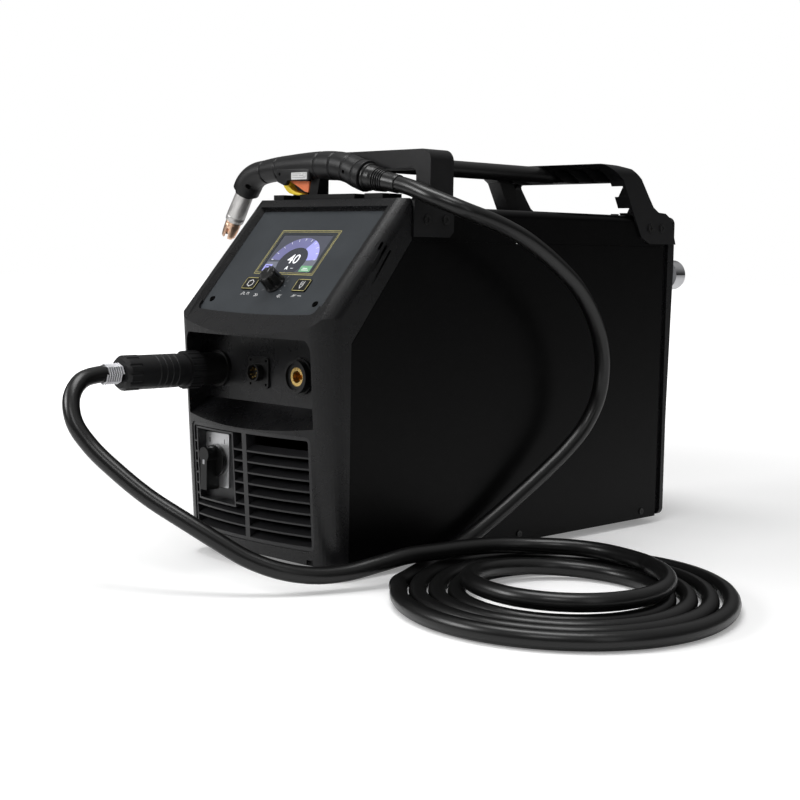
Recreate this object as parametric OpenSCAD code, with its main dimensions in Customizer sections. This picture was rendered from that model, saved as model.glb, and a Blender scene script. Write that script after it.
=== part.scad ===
// Inverter plasma cutter with its torch, lead and central connector. Millimetres, +Z up,
// front towards -Y. Case coordinates have the middle plane of the case at X = 0 and the
// floor at Z = 0; placed() moves them so that the origin is under the middle of the object.

/* [Case] */
// Width over the two side panels
body_w = 248; // [220:1:300]
// Height of a side panel
panel_h = 346; // [330:1:380]
// Length of a side panel
panel_len = 540; // [480:1:640]
// Free height under the case
ground_gap = 9; // [6:1:16]
// Height of the top cover over the seam
cover_h = 38; // [30:1:48]
// Thickness of the sheet steel
sheet_t = 1.2; // [1:0.1:2]
// Length of the rear bezel behind the panels
rear_len = 23; // [18:1:32]
// Diameter of a rubber foot
foot_d = 28; // [20:1:36]

/* [Front bezel] */
// Wall of the moulded bezels
bezel_t = 3; // [2.4:0.1:4]
// Forward reach of the bezel corner from the side panel
bezel_reach = 33; // [26:1:44]
// Height of the forward bow at the middle of the front
front_bow = 11.6; // [6:0.2:18]
// Backward lean of the lower front in degrees
front_lean = 3.6; // [0:0.1:6]
// Slope of the control panel in degrees
panel_slope = 48.4; // [44:0.1:54]
// Height of the rim around the control panel
rim_up = 2.5; // [1.5:0.5:3.5]
// Width of the connector recess
recess_w = 208; // [190:1:214]
// Depth of the connector recess behind the bezel corner
recess_depth = 24; // [18:1:30]
// Spacing of the three connectors
connector_pitch = 70; // [62:1:74]
// Number of louvre blades
blades = 10; // [6:1:12]

/* [Controls] */
// Length of the control panel plate along its slope
plate_len = 148; // [140:1:150]
// Width of the control panel plate at its top
plate_w = 201; // [190:1:204]
// Thickness of the control panel plate
plate_t = 2.5; // [2:0.1:3]
// Width of the display window
display_w = 82; // [70:1:90]
// Height of the display window
display_h = 54; // [44:1:56]
// Diameter of the setting knob
knob_d = 22.5; // [20:0.5:28]
// Height of the setting knob
knob_h = 18; // [13:0.5:20]
// Travel of a push button
button_travel = 0.8; // [0.4:0.1:1.2]
// Length of the power switch lever
lever_len = 50; // [40:1:54]

/* [Handles] */
// Height of the handles over the floor
handle_top = 454; // [440:1:480]
// Width of a handle leg across the case
leg_w = 21.5; // [18:0.5:26]
// Depth of the front handle leg along the case
leg_l = 36; // [30:1:42]
// Thickness of the crossbars
bar_h = 20; // [17:0.5:24]
// Diameter of the lengthwise tube
tube_d = 20; // [18:0.5:22]

/* [Torch] */
// Diameter of the torch grip
grip_d = 32; // [28:0.5:35]
// Diameter of the retaining cup at its top
cup_d = 21; // [19:0.5:23]
// Length of the retaining cup
cup_l = 40; // [34:1:44]
// Diameter of the copper shield
shield_d = 15; // [13:0.5:17]
// Diameter of the torch lead
lead_d = 18; // [16:0.5:20]
// Diameter of the connector body on the lead
plug_d = 36; // [32:1:38]

/* [Hidden] */
$fn = 48;

// Clearances: a seam between fixed pieces, a seated face, and a running fit
seam = 0.3;
seat = 0.2;
fit = 0.08;

// Levels of the case
hw = body_w / 2;
y_front = -262;
y_back = y_front + panel_len;
z_low = ground_gap;
z_seam = z_low + panel_h;
z_top = z_seam + cover_h;
y_rear = y_back + rear_len;

// Front-top corner of a side panel, cut along a line from the front edge to the seam
cut_run = 85;
cut_rise = 107;
y_cut = y_front + cut_run;

// Front bezel: bowed front face, rounded corners, sloping panel above the nose
corner_r = 28;
corner_x = hw - corner_r;
bow_half = hw - 18;
bow_r = (bow_half * bow_half + front_bow * front_bow) / (2 * front_bow);
y_bow = y_front - bezel_reach - front_bow;
bow_cy = y_bow + bow_r;
corner_y = bow_cy - sqrt(pow(bow_r - corner_r, 2) - corner_x * corner_x);
bow_end = asin(corner_x / (bow_r - corner_r));
z_lean = z_low + 151;
ramp_r = 16;
ramp_y = y_front - 30;
ramp_z = z_seam - 77;
y_bezel_back = y_cut - seam;
bezel_top = ramp_z + 122.5;
nose_z = ramp_z - 13;

// Connector recess in the front
recess_y = y_front - bezel_reach + recess_depth;
shelf_z = z_low + 169;
roof_z = nose_z - 14;
socket_z = z_low + 202;
socket_x = -12 - connector_pitch;
control_x = -12;
earth_x = -13 + connector_pitch;

// Air inlet louvre below the recess
grille_z0 = z_low + 22;
grille_z1 = z_low + 143;
grille_half = 100;
blade_pitch = 11.9;
blade_t = 1.8;
blade_depth = 10;
mullion_x = 3;
frame_wall = 4;
window_x0 = -89;
window_x1 = -18;
window_z0 = z_low + 58;
window_z1 = z_low + 136;
switch_x = -69.5;
switch_z = z_low + 100;
switch_y = y_front - 21;
switch_bore = 9;
switch_wall = 2;

// Sloping control panel
plate_w0 = plate_w - 6;
plate_arc = 3;
plate_r = 8;
pocket_gap = 0.4;
pocket_depth = 5.5;
rim_s = plate_len + 2.5;
display_x = 3;
display_s = 85.5;
knob_x = 3.5;
knob_s = 41;
left_x = -37.5;
right_x = 47;
button_s = 40.5;
button_w = 22;
button_l = 17;
shaft_d = 6;

// Handles: the right legs end in ears on the side of the case, the left legs stand inboard
// on the cover with their outer face left_x0 from the middle plane
ear_t = 2.5;
hx = hw + seat + ear_t;
left_x0 = 96;
hand_x = (hx - left_x0) / 2;
hand_half = (hx + left_x0) / 2;
leg_mid = -left_x0 + leg_w / 2;
z_bar = handle_top - bar_h;
bar_y0 = y_cut + 24;
bar_y1 = bar_y0 + leg_l;
tube_z = handle_top - 11.4;
tube_y0 = bar_y1 + seat;
tube_y1 = y_back - 96;
tube_t = 2;

// Torch lying on its rest, its grip along X in the plane torch_y. Stations of the grip's
// axis: x, height over the handle top, radius over the grip radius
torch_y = bar_y0 - 18;
grip_r = grip_d / 2;
grip_line = [[-161.5, -41.5, 0], [-156.5, -34.5, 0.3], [-149.5, -27, 0.3], [-139, -21, -0.2],
    [-123, -18.5, -1.2], [-99, -17, -2], [-78, -16, -1.5], [-55, -15.4, -0.7], [-30, -15.2, 0],
    [-10, -15.6, 0.2], [8, -17, 0], [24, -21, 0.2], [37, -26, 0.7], [49, -29, 1.4]];
grip_end = grip_line[13];
grip_wall = 2.6;
mouth = [grip_line[0][0], torch_y, handle_top + grip_line[0][1]];
head_tilt = 32.3;
tip_l = 70;
boot_tilt = 10.8;
trigger_x = -70;
trigger_z = handle_top - 23;
trigger_w = 14;
pin_r = 1.5;
safety_x = -82;
safety_z = handle_top - 24;
rest_z = handle_top - 47.8;

// Central connector on the front
nose_y = recess_y;
sock_y = nose_y - 33;
ring_y0 = sock_y - 1;
ring_l = 17;
plug_y1 = ring_y0 - 79;
nut_l = 21;
nut_d = plug_d + 2;
spring_wire = 2.2;
spring_turns = 7;
spring_len = 22;
lead_r = lead_d / 2;

// Middle of the object, which placed() brings over the origin
torch_end_x = mouth[0] - tip_l * sin(head_tilt) - 4.2 * cos(head_tilt);
gauge_y = y_rear + 42;
y_nose = y_bow - (nose_z - z_lean) * tan(front_lean);
case_x = -(torch_end_x + hx + 1.75) / 2;
case_y = -(y_nose + gauge_y) / 2;

module placed() translate([case_x, case_y, 0]) children();

// Points of an arc: centre, radius, first and last angle measured from -Y towards +X, steps
function arc(c, r, a0, a1, n) = [for (i = [0:n]) let (a = a0 + (a1 - a0) * i / n)
    [c[0] + r * sin(a), c[1] - r * cos(a)]];

// Plan outline of the front, t inside the outer surface
function plan(t, y) = concat([[-hw + t, y]],
    arc([-corner_x, corner_y], corner_r - t, -90, -bow_end, 10),
    arc([0, bow_cy], bow_r - t, -bow_end + 1, bow_end - 1, 14),
    arc([corner_x, corner_y], corner_r - t, bow_end, 90, 10), [[hw - t, y]]);

// Outline across the slope, t inside the outer surface
rim_c = rim_up - ramp_r;
function across(t) = concat([[-hw + t, -320]],
    [for (a = [-90:9:0]) [-hw + ramp_r + (ramp_r - t) * sin(a), rim_c + (ramp_r - t) * cos(a)]],
    [for (a = [0:9:90]) [hw - ramp_r + (ramp_r - t) * sin(a), rim_c + (ramp_r - t) * cos(a)]],
    [[hw - t, -320]]);

// Outline along the slope: the rim rises from the nose to its full height
function along(t) = [[-320, -400], [-320, -t], [-16, -t], [20, rim_up - t], [320, rim_up - t],
    [320, -400]];

// Side outline of the bezel: chin, open front, top and the rear edge along the side panel
function side(t, back) = [[y_front - seam + back, z_low + t], [y_front - 70, z_low + 18.7 + t],
    [y_front - 70, bezel_top - t], [y_bezel_back + back, bezel_top - t],
    [y_bezel_back + back, z_seam + 0.8], [y_front - seam + back, z_seam - cut_rise + 0.8]];

module rounded(w, h, r) {
    square([w - 2 * r, h], center = true);
    square([w, h - 2 * r], center = true);
    for (x = [-1, 1], y = [-1, 1]) translate([x * (w / 2 - r), y * (h / 2 - r)]) circle(r);
}

// Prism along X of an outline given as [y, z] points
module along_x(w) rotate([90, 0, 90]) translate([0, 0, -w / 2]) linear_extrude(w) children();

// Prism along Y from y0 to y1 of an outline in X and Z
module along_y(y0, y1) translate([0, y1, 0]) rotate([90, 0, 0]) linear_extrude(y1 - y0) children();

// Frame of the sloping panel: local y runs up the slope, local z points out of it
module on_ramp(x, s, h) translate([x, ramp_y, ramp_z]) rotate([panel_slope, 0, 0])
    translate([0, s, h]) children();

// Frame of the leaning front
module leaned() translate([0, 0, z_lean]) rotate([front_lean, 0, 0])
    translate([0, 0, -z_lean]) children();

// Pan-head screw, its head on the plane z = 0 and pointing up, with a cross recess
module screw(d, l) {
    difference() {
        union() {
            cylinder(h = 0.35 * d, r = d);
            translate([0, 0, -l]) cylinder(h = l + 0.01, r = d / 2);
        }
        for (a = [0, 90]) rotate([0, 0, a])
            translate([0, 0, 0.35 * d]) cube([1.1 * d, 0.22 * d, 0.36 * d], center = true);
    }
}

// Solid body of the bezel, t inside the outer surface and open for back beyond its rear edge
module bezel_form(t, back) {
    intersection() {
        along_x(2 * hw + 10) polygon(side(t, back));
        leaned() translate([0, 0, -60]) linear_extrude(620) polygon(plan(t, y_front + 240));
        slope_prism(-330, 330) polygon(across(t));
        on_ramp(0, 0, 0) along_x(2 * hw + 10) polygon(along(t));
    }
}

// Prism along the slope from s0 to s1 of an outline across it
module slope_prism(s0, s1) on_ramp(0, s1, 0) rotate([90, 0, 0]) linear_extrude(s1 - s0) children();

// Inside of the rim: its sloping walls above the plate, and the face below it
wall_run = 0.75;
field_x = plate_w / 2 + 0.5;
plate_face = -pocket_depth + plate_t + seat;

module rim_inside() {
    x0 = field_x - wall_run * plate_face;
    slope_prism(-80, rim_s) polygon([[-x0, 0], [x0, 0], [x0 + 5 * wall_run, 5], [-x0 - 5 * wall_run, 5]]);
    slope_prism(12, rim_s) polygon([[-field_x, plate_face], [field_x, plate_face],
        [x0 + wall_run, 1], [-x0 - wall_run, 1]]);
}

// Three slots in a corner of the bezel, deep at the top and running out further down
module corner_slots(m) for (p = [[121.8, -5.3, 59, 30], [123.7, -10.8, 79, 36], [124, -18.2, 90, 45]])
    on_ramp(m * p[0], 105, p[1]) rotate([0, m * p[2], 0]) rotate([0, 0, m * 5])
        rotate([-atan(4.4 / p[3]), 0, 0]) {
            translate([-1.3, -p[3], -4.2]) cube([2.6, p[3], 12]);
            translate([0, 0, -4.2]) cylinder(h = 12, r = 1.3);
        }

// Room cut for the connectors, grown by g on every side
module recess(g) {
    intersection() {
        along_x(recess_w + 2 * g) polygon([[recess_y + g, shelf_z - 1.4 * g],
            [recess_y - 60, shelf_z - 41 - 1.4 * g], [recess_y - 60, roof_z + 2 + g],
            [recess_y + g, roof_z + g]]);
        translate([0, 0, roof_z - 60 + 2]) along_y(recess_y - 60, recess_y + g)
            rounded(recess_w + 2 * g, 124 + 2 * g, 16 + g);
    }
}

// Outline of the control panel plate, g outside its edge
module plate_outline(g) {
    half1 = plate_w / 2 + g;
    low = plate_w0 / 2 - plate_r;
    rr = plate_r + g;
    polygon(concat([[half1, plate_len + g], [-half1, plate_len + g]],
        [for (a = [0:15:90]) [-low - rr * cos(a), plate_r - rr * sin(a)]],
        [for (i = [1:9]) let (u = i / 5 - 1) [low * u, -g - plate_arc * (1 - u * u)]],
        [for (a = [90:-15:0]) [low + rr * cos(a), plate_r - rr * sin(a)]]));
}

// Hole of the louvre in the front wall, g larger on every side
module louvre_hole(g) along_y(y_bow - 20, y_front - 1) translate([0, (grille_z0 + grille_z1) / 2])
    rounded(2 * grille_half + 2 * g, grille_z1 - grille_z0 + 2 * g, 7 + g);

// Socket holes, control connector hole and earth socket hole in the wall of the recess
module connector_holes() {
    for (p = [[socket_x, 30], [control_x, 20], [earth_x, 30]])
        translate([p[0], recess_y + 8, socket_z]) rotate([90, 0, 0])
            cylinder(h = 12, r = p[1] / 2 + fit);
}

module front_bezel() placed() color([0.07, 0.07, 0.075]) difference() {
    union() {
        difference() {
            bezel_form(0, 0);
            bezel_form(bezel_t, 20);
        }
        intersection() {
            bezel_form(0, 0);
            union() {
                recess(bezel_t);
                on_ramp(0, 0, -pocket_depth - bezel_t) linear_extrude(30) plate_outline(9);
                difference() {
                    louvre_hole(bezel_t);
                    translate([0, 24, 0]) bezel_form(0, 0);
                }
            }
        }
    }
    recess(0);
    louvre_hole(0);
    on_ramp(0, 0, -pocket_depth) linear_extrude(30) plate_outline(pocket_gap);
    on_ramp(0, plate_len / 2, -30) linear_extrude(40) square([150, plate_len - 36], center = true);
    connector_holes();
    rim_inside();
    for (m = [-1, 1]) {
        corner_slots(m);
        on_ramp(m * plate_screw_x, plate_screw_s, -pocket_depth - bezel_t - 1)
            cylinder(h = bezel_t + 2, r = 1.5 + seat);
    }
    for (x = [-93, -7, 93]) translate([x, y_front - 24, z_low - 1]) cylinder(h = 14, r = 5.5);
}

// Louvre insert: rim, blades that follow the bow, a mullion and the switch window
module blade(z) rotate([0, 0, -90 - 12]) rotate_extrude(angle = 24, $fn = 96) polygon([
    [bow_r - 1.2, z], [bow_r - 1.2, z + blade_t],
    [bow_r - 1.2 - blade_depth, z + blade_t + blade_depth / 2],
    [bow_r - 1.2 - blade_depth, z + blade_depth / 2]]);

module window_box(g, y0, y1) translate([window_x0 - g, y0, window_z0 - g])
    cube([window_x1 - window_x0 + 2 * g, y1 - y0, window_z1 - window_z0 + 2 * g]);

module front_grille() placed() color([0.09, 0.09, 0.095]) {
    y_in = switch_y + switch_wall;
    difference() {
        union() {
            intersection() {
                union() {
                    difference() {
                        louvre_hole(-seat);
                        louvre_hole(-frame_wall);
                    }
                    translate([mullion_x - 3.5, y_bow - 5, grille_z0 + 1])
                        cube([7, 60, grille_z1 - grille_z0 - 2]);
                }
                difference() {
                    bezel_form(1, 0);
                    translate([0, 14, 0]) bezel_form(0, 0);
                }
            }
            intersection() {
                louvre_hole(-frame_wall + 1);
                leaned() translate([0, bow_cy, 0]) for (i = [0:blades - 1])
                    blade(grille_z0 + 9.5 + i * blade_pitch);
            }
            intersection() {
                bezel_form(1, 0);
                louvre_hole(-seat);
                window_box(2, y_bow - 10, y_in);
            }
        }
        window_box(0, y_bow - 20, switch_y);
        translate([switch_x, y_in + 1, switch_z]) rotate([90, 0, 0])
            cylinder(h = 6, r = switch_bore + seat);
    }
}

module switch_plate() placed() color([0.82, 0.82, 0.83]) difference() {
    translate([window_x0 + seat + 20.4, 0, switch_z + 1]) along_y(switch_y - seat - 1.5, switch_y - seat)
        rounded(40.8, 60, 2);
    translate([switch_x, switch_y + 2, switch_z]) rotate([90, 0, 0])
        cylinder(h = 6, r = switch_bore + seat);
}

// Cam switch behind the plate, held by it, with its square shaft
module switch_body() placed() color([0.12, 0.12, 0.12]) translate([switch_x, switch_y, switch_z]) {
    translate([-25, switch_wall + seat, -30]) cube([50, 8, 62]);
    translate([-24, switch_wall + 8, -24]) cube([48, 46, 48]);
    translate([0, switch_wall + 1, 0]) rotate([90, 0, 0]) cylinder(h = 4 + switch_wall, r = switch_bore);
    rotate([90, 0, 0]) cylinder(h = 12, r = 4);
}

// Round lever base with the long grip, its short end up
module switch_lever() placed() color([0.1, 0.1, 0.1]) translate([switch_x, switch_y - 3.2, switch_z])
    difference() {
        union() {
            rotate([90, 0, 0]) cylinder(h = 4, r = 18);
            translate([-5.5, -17, 10 - lever_len + 9]) cube([11, 17, lever_len - 9]);
            translate([0, 0, 8]) rotate([90, 0, 0]) cylinder(h = 17, r = 8.4);
        }
        rotate([90, 0, 0]) translate([0, 0, -1]) cylinder(h = 11, r = 4 + fit);
        translate([0, -16, 0]) rotate([90, 0, 0]) cylinder(h = 3, r = 1.6);
    }

// Sheet-metal tray that carries the inside, with upstands for the panel screws
tray_x = hw - sheet_t - seat;
tray_z = z_low + sheet_t;
screw_ys = [y_front + 32, y_front + 271, y_back - 30];

module base_tray() placed() color([0.35, 0.36, 0.37]) difference() {
    translate([-tray_x, y_front, z_low]) cube([2 * tray_x, panel_len, 28]);
    translate([-tray_x + sheet_t, y_front + sheet_t, tray_z])
        cube([2 * (tray_x - sheet_t), panel_len - 2 * sheet_t, 60]);
    for (y = screw_ys, m = [-1, 1]) translate([m * tray_x, y, z_low + 9]) rotate([0, 90, 0])
        cylinder(h = 8, r = 2 + seat, center = true);
}

module feet() placed() color([0.05, 0.05, 0.05])
    for (x = [-1, 1], y = [y_front + 50, y_back - 45]) translate([x * (hw - 45), y, 0])
        difference() {
            rotate_extrude() polygon([[0, 0], [foot_d / 2 - 2.5, 0], [foot_d / 2 - 1, 2],
                [foot_d / 2, z_low], [0, z_low]]);
            translate([0, 0, -1]) cylinder(h = z_low - 3, r = 4);
        }

// Side panel with a folded edge at the top and the holes of its three screws
module side_panel(m) difference() {
    union() {
        translate([m * (hw - sheet_t / 2), 0, 0]) along_x(sheet_t) polygon([[y_front, z_low],
            [y_back, z_low], [y_back, z_seam], [y_cut, z_seam], [y_front, z_seam - cut_rise]]);
        translate([m * (hw - 7), 0, 0]) along_x(14) polygon([[y_cut + 2, z_seam - sheet_t],
            [y_back, z_seam - sheet_t], [y_back, z_seam], [y_cut + 2, z_seam]]);
    }
    for (y = screw_ys) translate([m * hw, y, z_low + 9]) rotate([0, 90, 0])
        cylinder(h = 8, r = 2 + seat, center = true);
}

module left_side_panel() placed() color([0.04, 0.04, 0.045]) side_panel(-1);

module right_side_panel() placed() color([0.04, 0.04, 0.045]) side_panel(1);

// Top cover, an open channel over the whole length, drilled for the handle screws
cover_r = 9;
front_ear = [[y_cut + 20, z_seam + 23.5], [y_cut + 49, z_seam + 23.5]];
rear_ear = [[y_back - 33.6, z_seam + 22.7], [y_back - 9, z_seam + 23.2]];
ear_holes = concat(front_ear, rear_ear);
cover_holes = [[-100, y_back - 92], [100, y_back - 72]];
foot_holes = [for (y = [bar_y0 + 9, bar_y1 - 9, y_back - 56, y_back - 36]) [leg_mid, y]];

module cover_outline(t) translate([0, z_top - 100]) rounded(2 * (hw - t), 2 * (100 - t), cover_r - t);

module top_cover() placed() color([0.05, 0.05, 0.055]) difference() {
    along_y(y_cut, y_back) difference() {
        cover_outline(0);
        cover_outline(sheet_t);
        translate([-hw - 1, z_top - 300]) square([2 * hw + 2, 300 - z_top + z_seam + seam]);
    }
    for (p = ear_holes) translate([hw, p[0], p[1]]) rotate([0, 90, 0])
        cylinder(h = 8, r = 2.5 + seat, center = true);
    for (p = concat(cover_holes, foot_holes)) translate([p[0], p[1], z_top])
        cylinder(h = 8, r = 2.5 + seat, center = true);
}

// Rear bezel: groove behind the panels, rim that leans out towards the top, recessed wall
wall_y = y_back + 12;
wall_t = 3;
rim_t = 8;
fan_z = z_low + 121;
fan_d = 112;
gauge_x = 95;
gauge_z = z_seam - 36;
gland_x = -70;
gland_z = gauge_z - 60;
inlet_r = 14;
inlet_y = wall_y + wall_t + inlet_r;

module rear_outline(t) difference() {
    translate([0, (z_low + z_top) / 2])
        rounded(2 * (hw - t), z_top - z_low - 2 * t, max(cover_r - t, 2));
}

module rear_bezel() placed() color([0.07, 0.07, 0.075]) difference() {
    union() {
        difference() {
            along_y(y_back + 10, y_rear) rear_outline(0);
            along_y(wall_y + wall_t, y_rear + 1) rear_outline(rim_t);
        }
        along_y(y_back + seam, y_back + 11) rear_outline(4);
    }
    along_y(y_back, wall_y) rear_outline(rim_t);
    along_x(2 * hw + 2) polygon([[y_rear - 6, 0], [y_rear - 6, z_low + 123],
        [y_rear, z_seam - 25], [y_rear, z_top + 9], [y_rear + 9, z_top + 9], [y_rear + 9, 0]]);
    translate([0, wall_y - 1, fan_z]) rotate([-90, 0, 0]) cylinder(h = 9, r = fan_d / 2);
    translate([gland_x, wall_y - 1, gland_z]) rotate([-90, 0, 0]) cylinder(h = 9, r = 10 + seat);
}

module front_handle() placed() color([0.08, 0.08, 0.085]) difference() {
    union() {
        intersection() {
            along_y(y_cut - 5, bar_y1 + 30) difference() {
                translate([hand_x, handle_top - 120]) rounded(2 * hand_half, 240, 13);
                translate([hand_x, z_bar - 150]) rounded(2 * (hand_half - leg_w), 300, 6);
            }
            along_x(2 * hx) polygon([[y_cut + 0.5, z_seam + 5], [y_cut + 56, z_seam + 5],
                [y_cut + 62, z_seam + 11], [y_cut + 62, z_top + 4], [bar_y1, z_top + 10],
                [bar_y1, handle_top], [bar_y0, handle_top], [bar_y0, z_top + 18],
                [bar_y0 - 6, z_top + 8], [y_cut + 0.5, z_top + 5]]);
        }
        translate([hand_x, bar_y1 - 1, tube_z]) rotate([-90, 0, 0])
            cylinder(h = 15, r = tube_d / 2 - tube_t - fit);
    }
    translate([-hw - seat, y_cut - 10, z_seam])
        cube([2 * (hw + seat), leg_l + 80, cover_h + seat]);
    translate([-left_x0 - 1, y_cut - 10, z_top]) cube([leg_w + 8, bar_y0 - y_cut + 10, 24]);
    for (p = front_ear) translate([hx, p[0], p[1]]) rotate([0, 90, 0])
        cylinder(h = 3 * ear_t, r = 2.5 + seat, center = true);
    foot_bores();
}

// Rear handle: curved legs, hollow crossbar with ribs, boss for the tube in the middle
rear_side = [[y_back - 122, handle_top], [y_back - 96, handle_top - 0.9],
    [y_back - 71.5, handle_top - 4.5], [y_back - 54.3, handle_top - 16], [y_back - 36.3, z_top + 22],
    [y_back - 27.2, z_top + 11], [y_back - 16.2, z_top + 5], [y_back - 1.1, z_top + 4],
    [y_back + 10, z_top - 2], [y_back + 15.5, z_top - 16], [y_rear - 0.5, z_seam + 3.4],
    [y_back - 33.2, z_seam + 3.4], [y_back - 50.5, z_seam + 10.6], [y_back - 68.6, z_top + 1.8],
    [y_back - 91.2, handle_top - 18.6], [y_back - 112, handle_top - 6.2]];

module rear_handle() placed() color([0.08, 0.08, 0.085]) difference() {
    intersection() {
        along_x(2 * hx) polygon(rear_side);
        along_y(y_back - 130, y_rear + 1) difference() {
            translate([hand_x, handle_top - 120]) rounded(2 * hand_half, 240, 13);
            translate([hand_x, z_bar - 150]) rounded(2 * (hand_half - leg_w), 300, 6);
        }
    }
    translate([-hw - seat, y_back - 90, z_seam])
        cube([2 * (hw + seat), rear_len + 100, cover_h + seat]);
    translate([-left_x0 - 1, y_back - 22, z_top]) cube([leg_w + 8, 60, 24]);
    for (x = [28, 53.5, 79], m = [-1, 1]) translate([hand_x + m * x, 0, 0]) along_x(22) polygon([
        [y_back - 130, handle_top - 4], [y_back - 96, handle_top - 4.8],
        [y_back - 74, handle_top - 8.6], [y_back - 60, handle_top - 18],
        [y_back - 60, handle_top - 40], [y_back - 130, handle_top - 40]]);
    for (i = [0, 1]) translate([hx - leg_w + 8, 0, 0]) along_x(17.9)
        polygon([for (p = [[-85, 17], [-62, 17], [-73, 1], [-95, 1]])
            [y_back + p[0] + 19 * (1 - i), z_bar - 38 + p[1] + 19.5 * i - 1]]);
    translate([hand_x, y_back - 130, tube_z]) rotate([-90, 0, 0])
        cylinder(h = 34 + seat, r = tube_d / 2 + fit);
    for (p = rear_ear) translate([hx, p[0], p[1]]) rotate([0, 90, 0])
        cylinder(h = 3 * ear_t, r = 2.5 + seat, center = true);
    foot_bores();
}

module handle_tube() placed() color([0.1, 0.1, 0.1]) translate([hand_x, tube_y0, tube_z])
    rotate([-90, 0, 0]) difference() {
        cylinder(h = tube_y1 - tube_y0, r = tube_d / 2);
        translate([0, 0, -1]) cylinder(h = tube_y1 - tube_y0 + 2, r = tube_d / 2 - tube_t);
    }

// Screws of the side panels, with their heads on the panels
module side_screws() placed() color([0.15, 0.15, 0.15])
    for (y = screw_ys, m = [-1, 1]) translate([m * hw, y, z_low + 9]) rotate([0, m * 90, 0])
        screw(4, 7);

// Screws through the handle ears and on top of the cover
module handle_screws() placed() color([0.15, 0.15, 0.15]) {
    for (p = ear_holes) translate([hx, p[0], p[1]]) rotate([0, 90, 0]) screw(5, 12);
    for (p = cover_holes) translate([p[0], p[1], z_top]) screw(5, 12);
    for (p = foot_holes) translate([p[0], p[1], z_top - sheet_t]) rotate([180, 0, 0]) screw(5, 12);
}

// Bores in the feet of the left legs
module foot_bores() for (p = foot_holes) translate([p[0], p[1], z_top - 1])
    cylinder(h = 13, r = 2.5 + seat);

// Plate of the control panel in its pocket, with openings for display, knob and buttons
plate_h0 = -pocket_depth + seat;
plate_screw_x = plate_w0 / 2 - 11.5;
plate_screw_s = 16.5;

module control_plate() placed() color([0.1, 0.11, 0.125]) on_ramp(0, 0, plate_h0)
    linear_extrude(plate_t) difference() {
        plate_outline(0);
        translate([display_x, display_s]) rounded(display_w + 0.4, display_h + 0.4, 3.2);
        translate([knob_x, knob_s]) circle(r = shaft_d / 2 + 1);
        for (x = [left_x, right_x]) translate([x, button_s])
            rounded(button_w + 0.6, button_l + 0.6, 2.3);
        for (m = [-1, 1]) translate([m * plate_screw_x, plate_screw_s]) circle(r = 1.5 + seat);
    }

module front_screws() placed() color([0.2, 0.2, 0.2]) for (m = [-1, 1])
    on_ramp(m * plate_screw_x, plate_screw_s, plate_h0 + plate_t) screw(3, 6.5);

glass_t = 1.6;
glass_h = plate_h0 + plate_t - 0.3 - glass_t;

module display_window() placed() color([0.02, 0.02, 0.05])
    on_ramp(display_x, display_s, glass_h) linear_extrude(glass_t) rounded(display_w, display_h, 3);

// Board under the plate with display module, encoder, key switches and posts
board_h = -16;
board_t = 1.6;
cap_h0 = plate_h0 - 1.3;

module control_board() placed() color([0.05, 0.25, 0.12]) on_ramp(0, 0, board_h) {
    difference() {
        union() {
            translate([-84, 16, 0]) cube([168, plate_len - 32, board_t]);
            translate([display_x - display_w / 2 + 1, display_s - display_h / 2 + 1, 0])
                cube([display_w - 2, display_h - 2, glass_h - seat - board_h]);
            translate([knob_x - 6, knob_s - 6, 0]) cube([12, 12, board_t + 6.5]);
            translate([knob_x, knob_s, 0]) cylinder(h = plate_h0 + plate_t - board_h, r = 3.5);
            translate([knob_x, knob_s, 0])
                cylinder(h = plate_h0 + plate_t - board_h + knob_h - 4, r = shaft_d / 2);
            for (x = [left_x, right_x]) translate([x - 3, button_s - 3, 0])
                cube([6, 6, cap_h0 - button_travel - 0.1 - board_h]);
            for (x = [-79, 79], s = [22, plate_len - 22]) translate([x, s, 0])
                cylinder(h = -pocket_depth - bezel_t - board_h, r = 3);
        }
        for (x = [-79, 79], s = [22, plate_len - 22]) translate([x, s, -1]) cylinder(h = 5, r = 1.2);
    }
}

// Fluted setting knob on the encoder shaft
module encoder_knob() placed() color([0.06, 0.06, 0.065])
    on_ramp(knob_x, knob_s, plate_h0 + plate_t + 0.4) difference() {
        union() {
            cylinder(h = 2.5, r = knob_d / 2 + 1);
            cylinder(h = knob_h, r = knob_d / 2);
        }
        for (i = [0:6]) rotate([0, 0, i * 360 / 7]) translate([knob_d / 2 + 2.2, 0, 2.5])
            cylinder(h = knob_h, r = 4);
        translate([0, 0, -1]) cylinder(h = knob_h - 2.4, r = shaft_d / 2 + fit);
    }

// Push button cap with its flange behind the plate
module button_cap(x) on_ramp(x, button_s, cap_h0) {
    linear_extrude(1) rounded(button_w + 3, button_l + 3, 3);
    linear_extrude(1.3 + plate_t + 1.2) rounded(button_w, button_l, 2);
}

module left_button() placed() color([0.08, 0.08, 0.09]) button_cap(left_x);

module right_button() placed() color([0.08, 0.08, 0.09]) button_cap(right_x);

// Frame of a connector on the wall of the recess, local z out of the wall
module on_wall(x) translate([x, recess_y, socket_z]) rotate([90, 0, 0]) children();

sock_l = recess_y - sock_y;
plug_r = plug_d / 2;

module torch_socket() placed() color([0.07, 0.07, 0.07]) on_wall(socket_x) difference() {
    union() {
        cylinder(h = 4, r = plug_r + 2.5);
        cylinder(h = sock_l, r = plug_r);
        translate([0, 0, -26]) cylinder(h = 27, r = 15);
        translate([0, 0, -bezel_t - seat - 6]) cylinder(h = 6, r = 20, $fn = 6);
    }
    translate([0, 0, sock_l - 22]) cylinder(h = 30, r = plug_r - 5.5);
    for (i = [0:11]) rotate([0, 0, i * 30]) translate([plug_r, -1.5, 9]) cube([2, 3, sock_l]);
}

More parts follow.
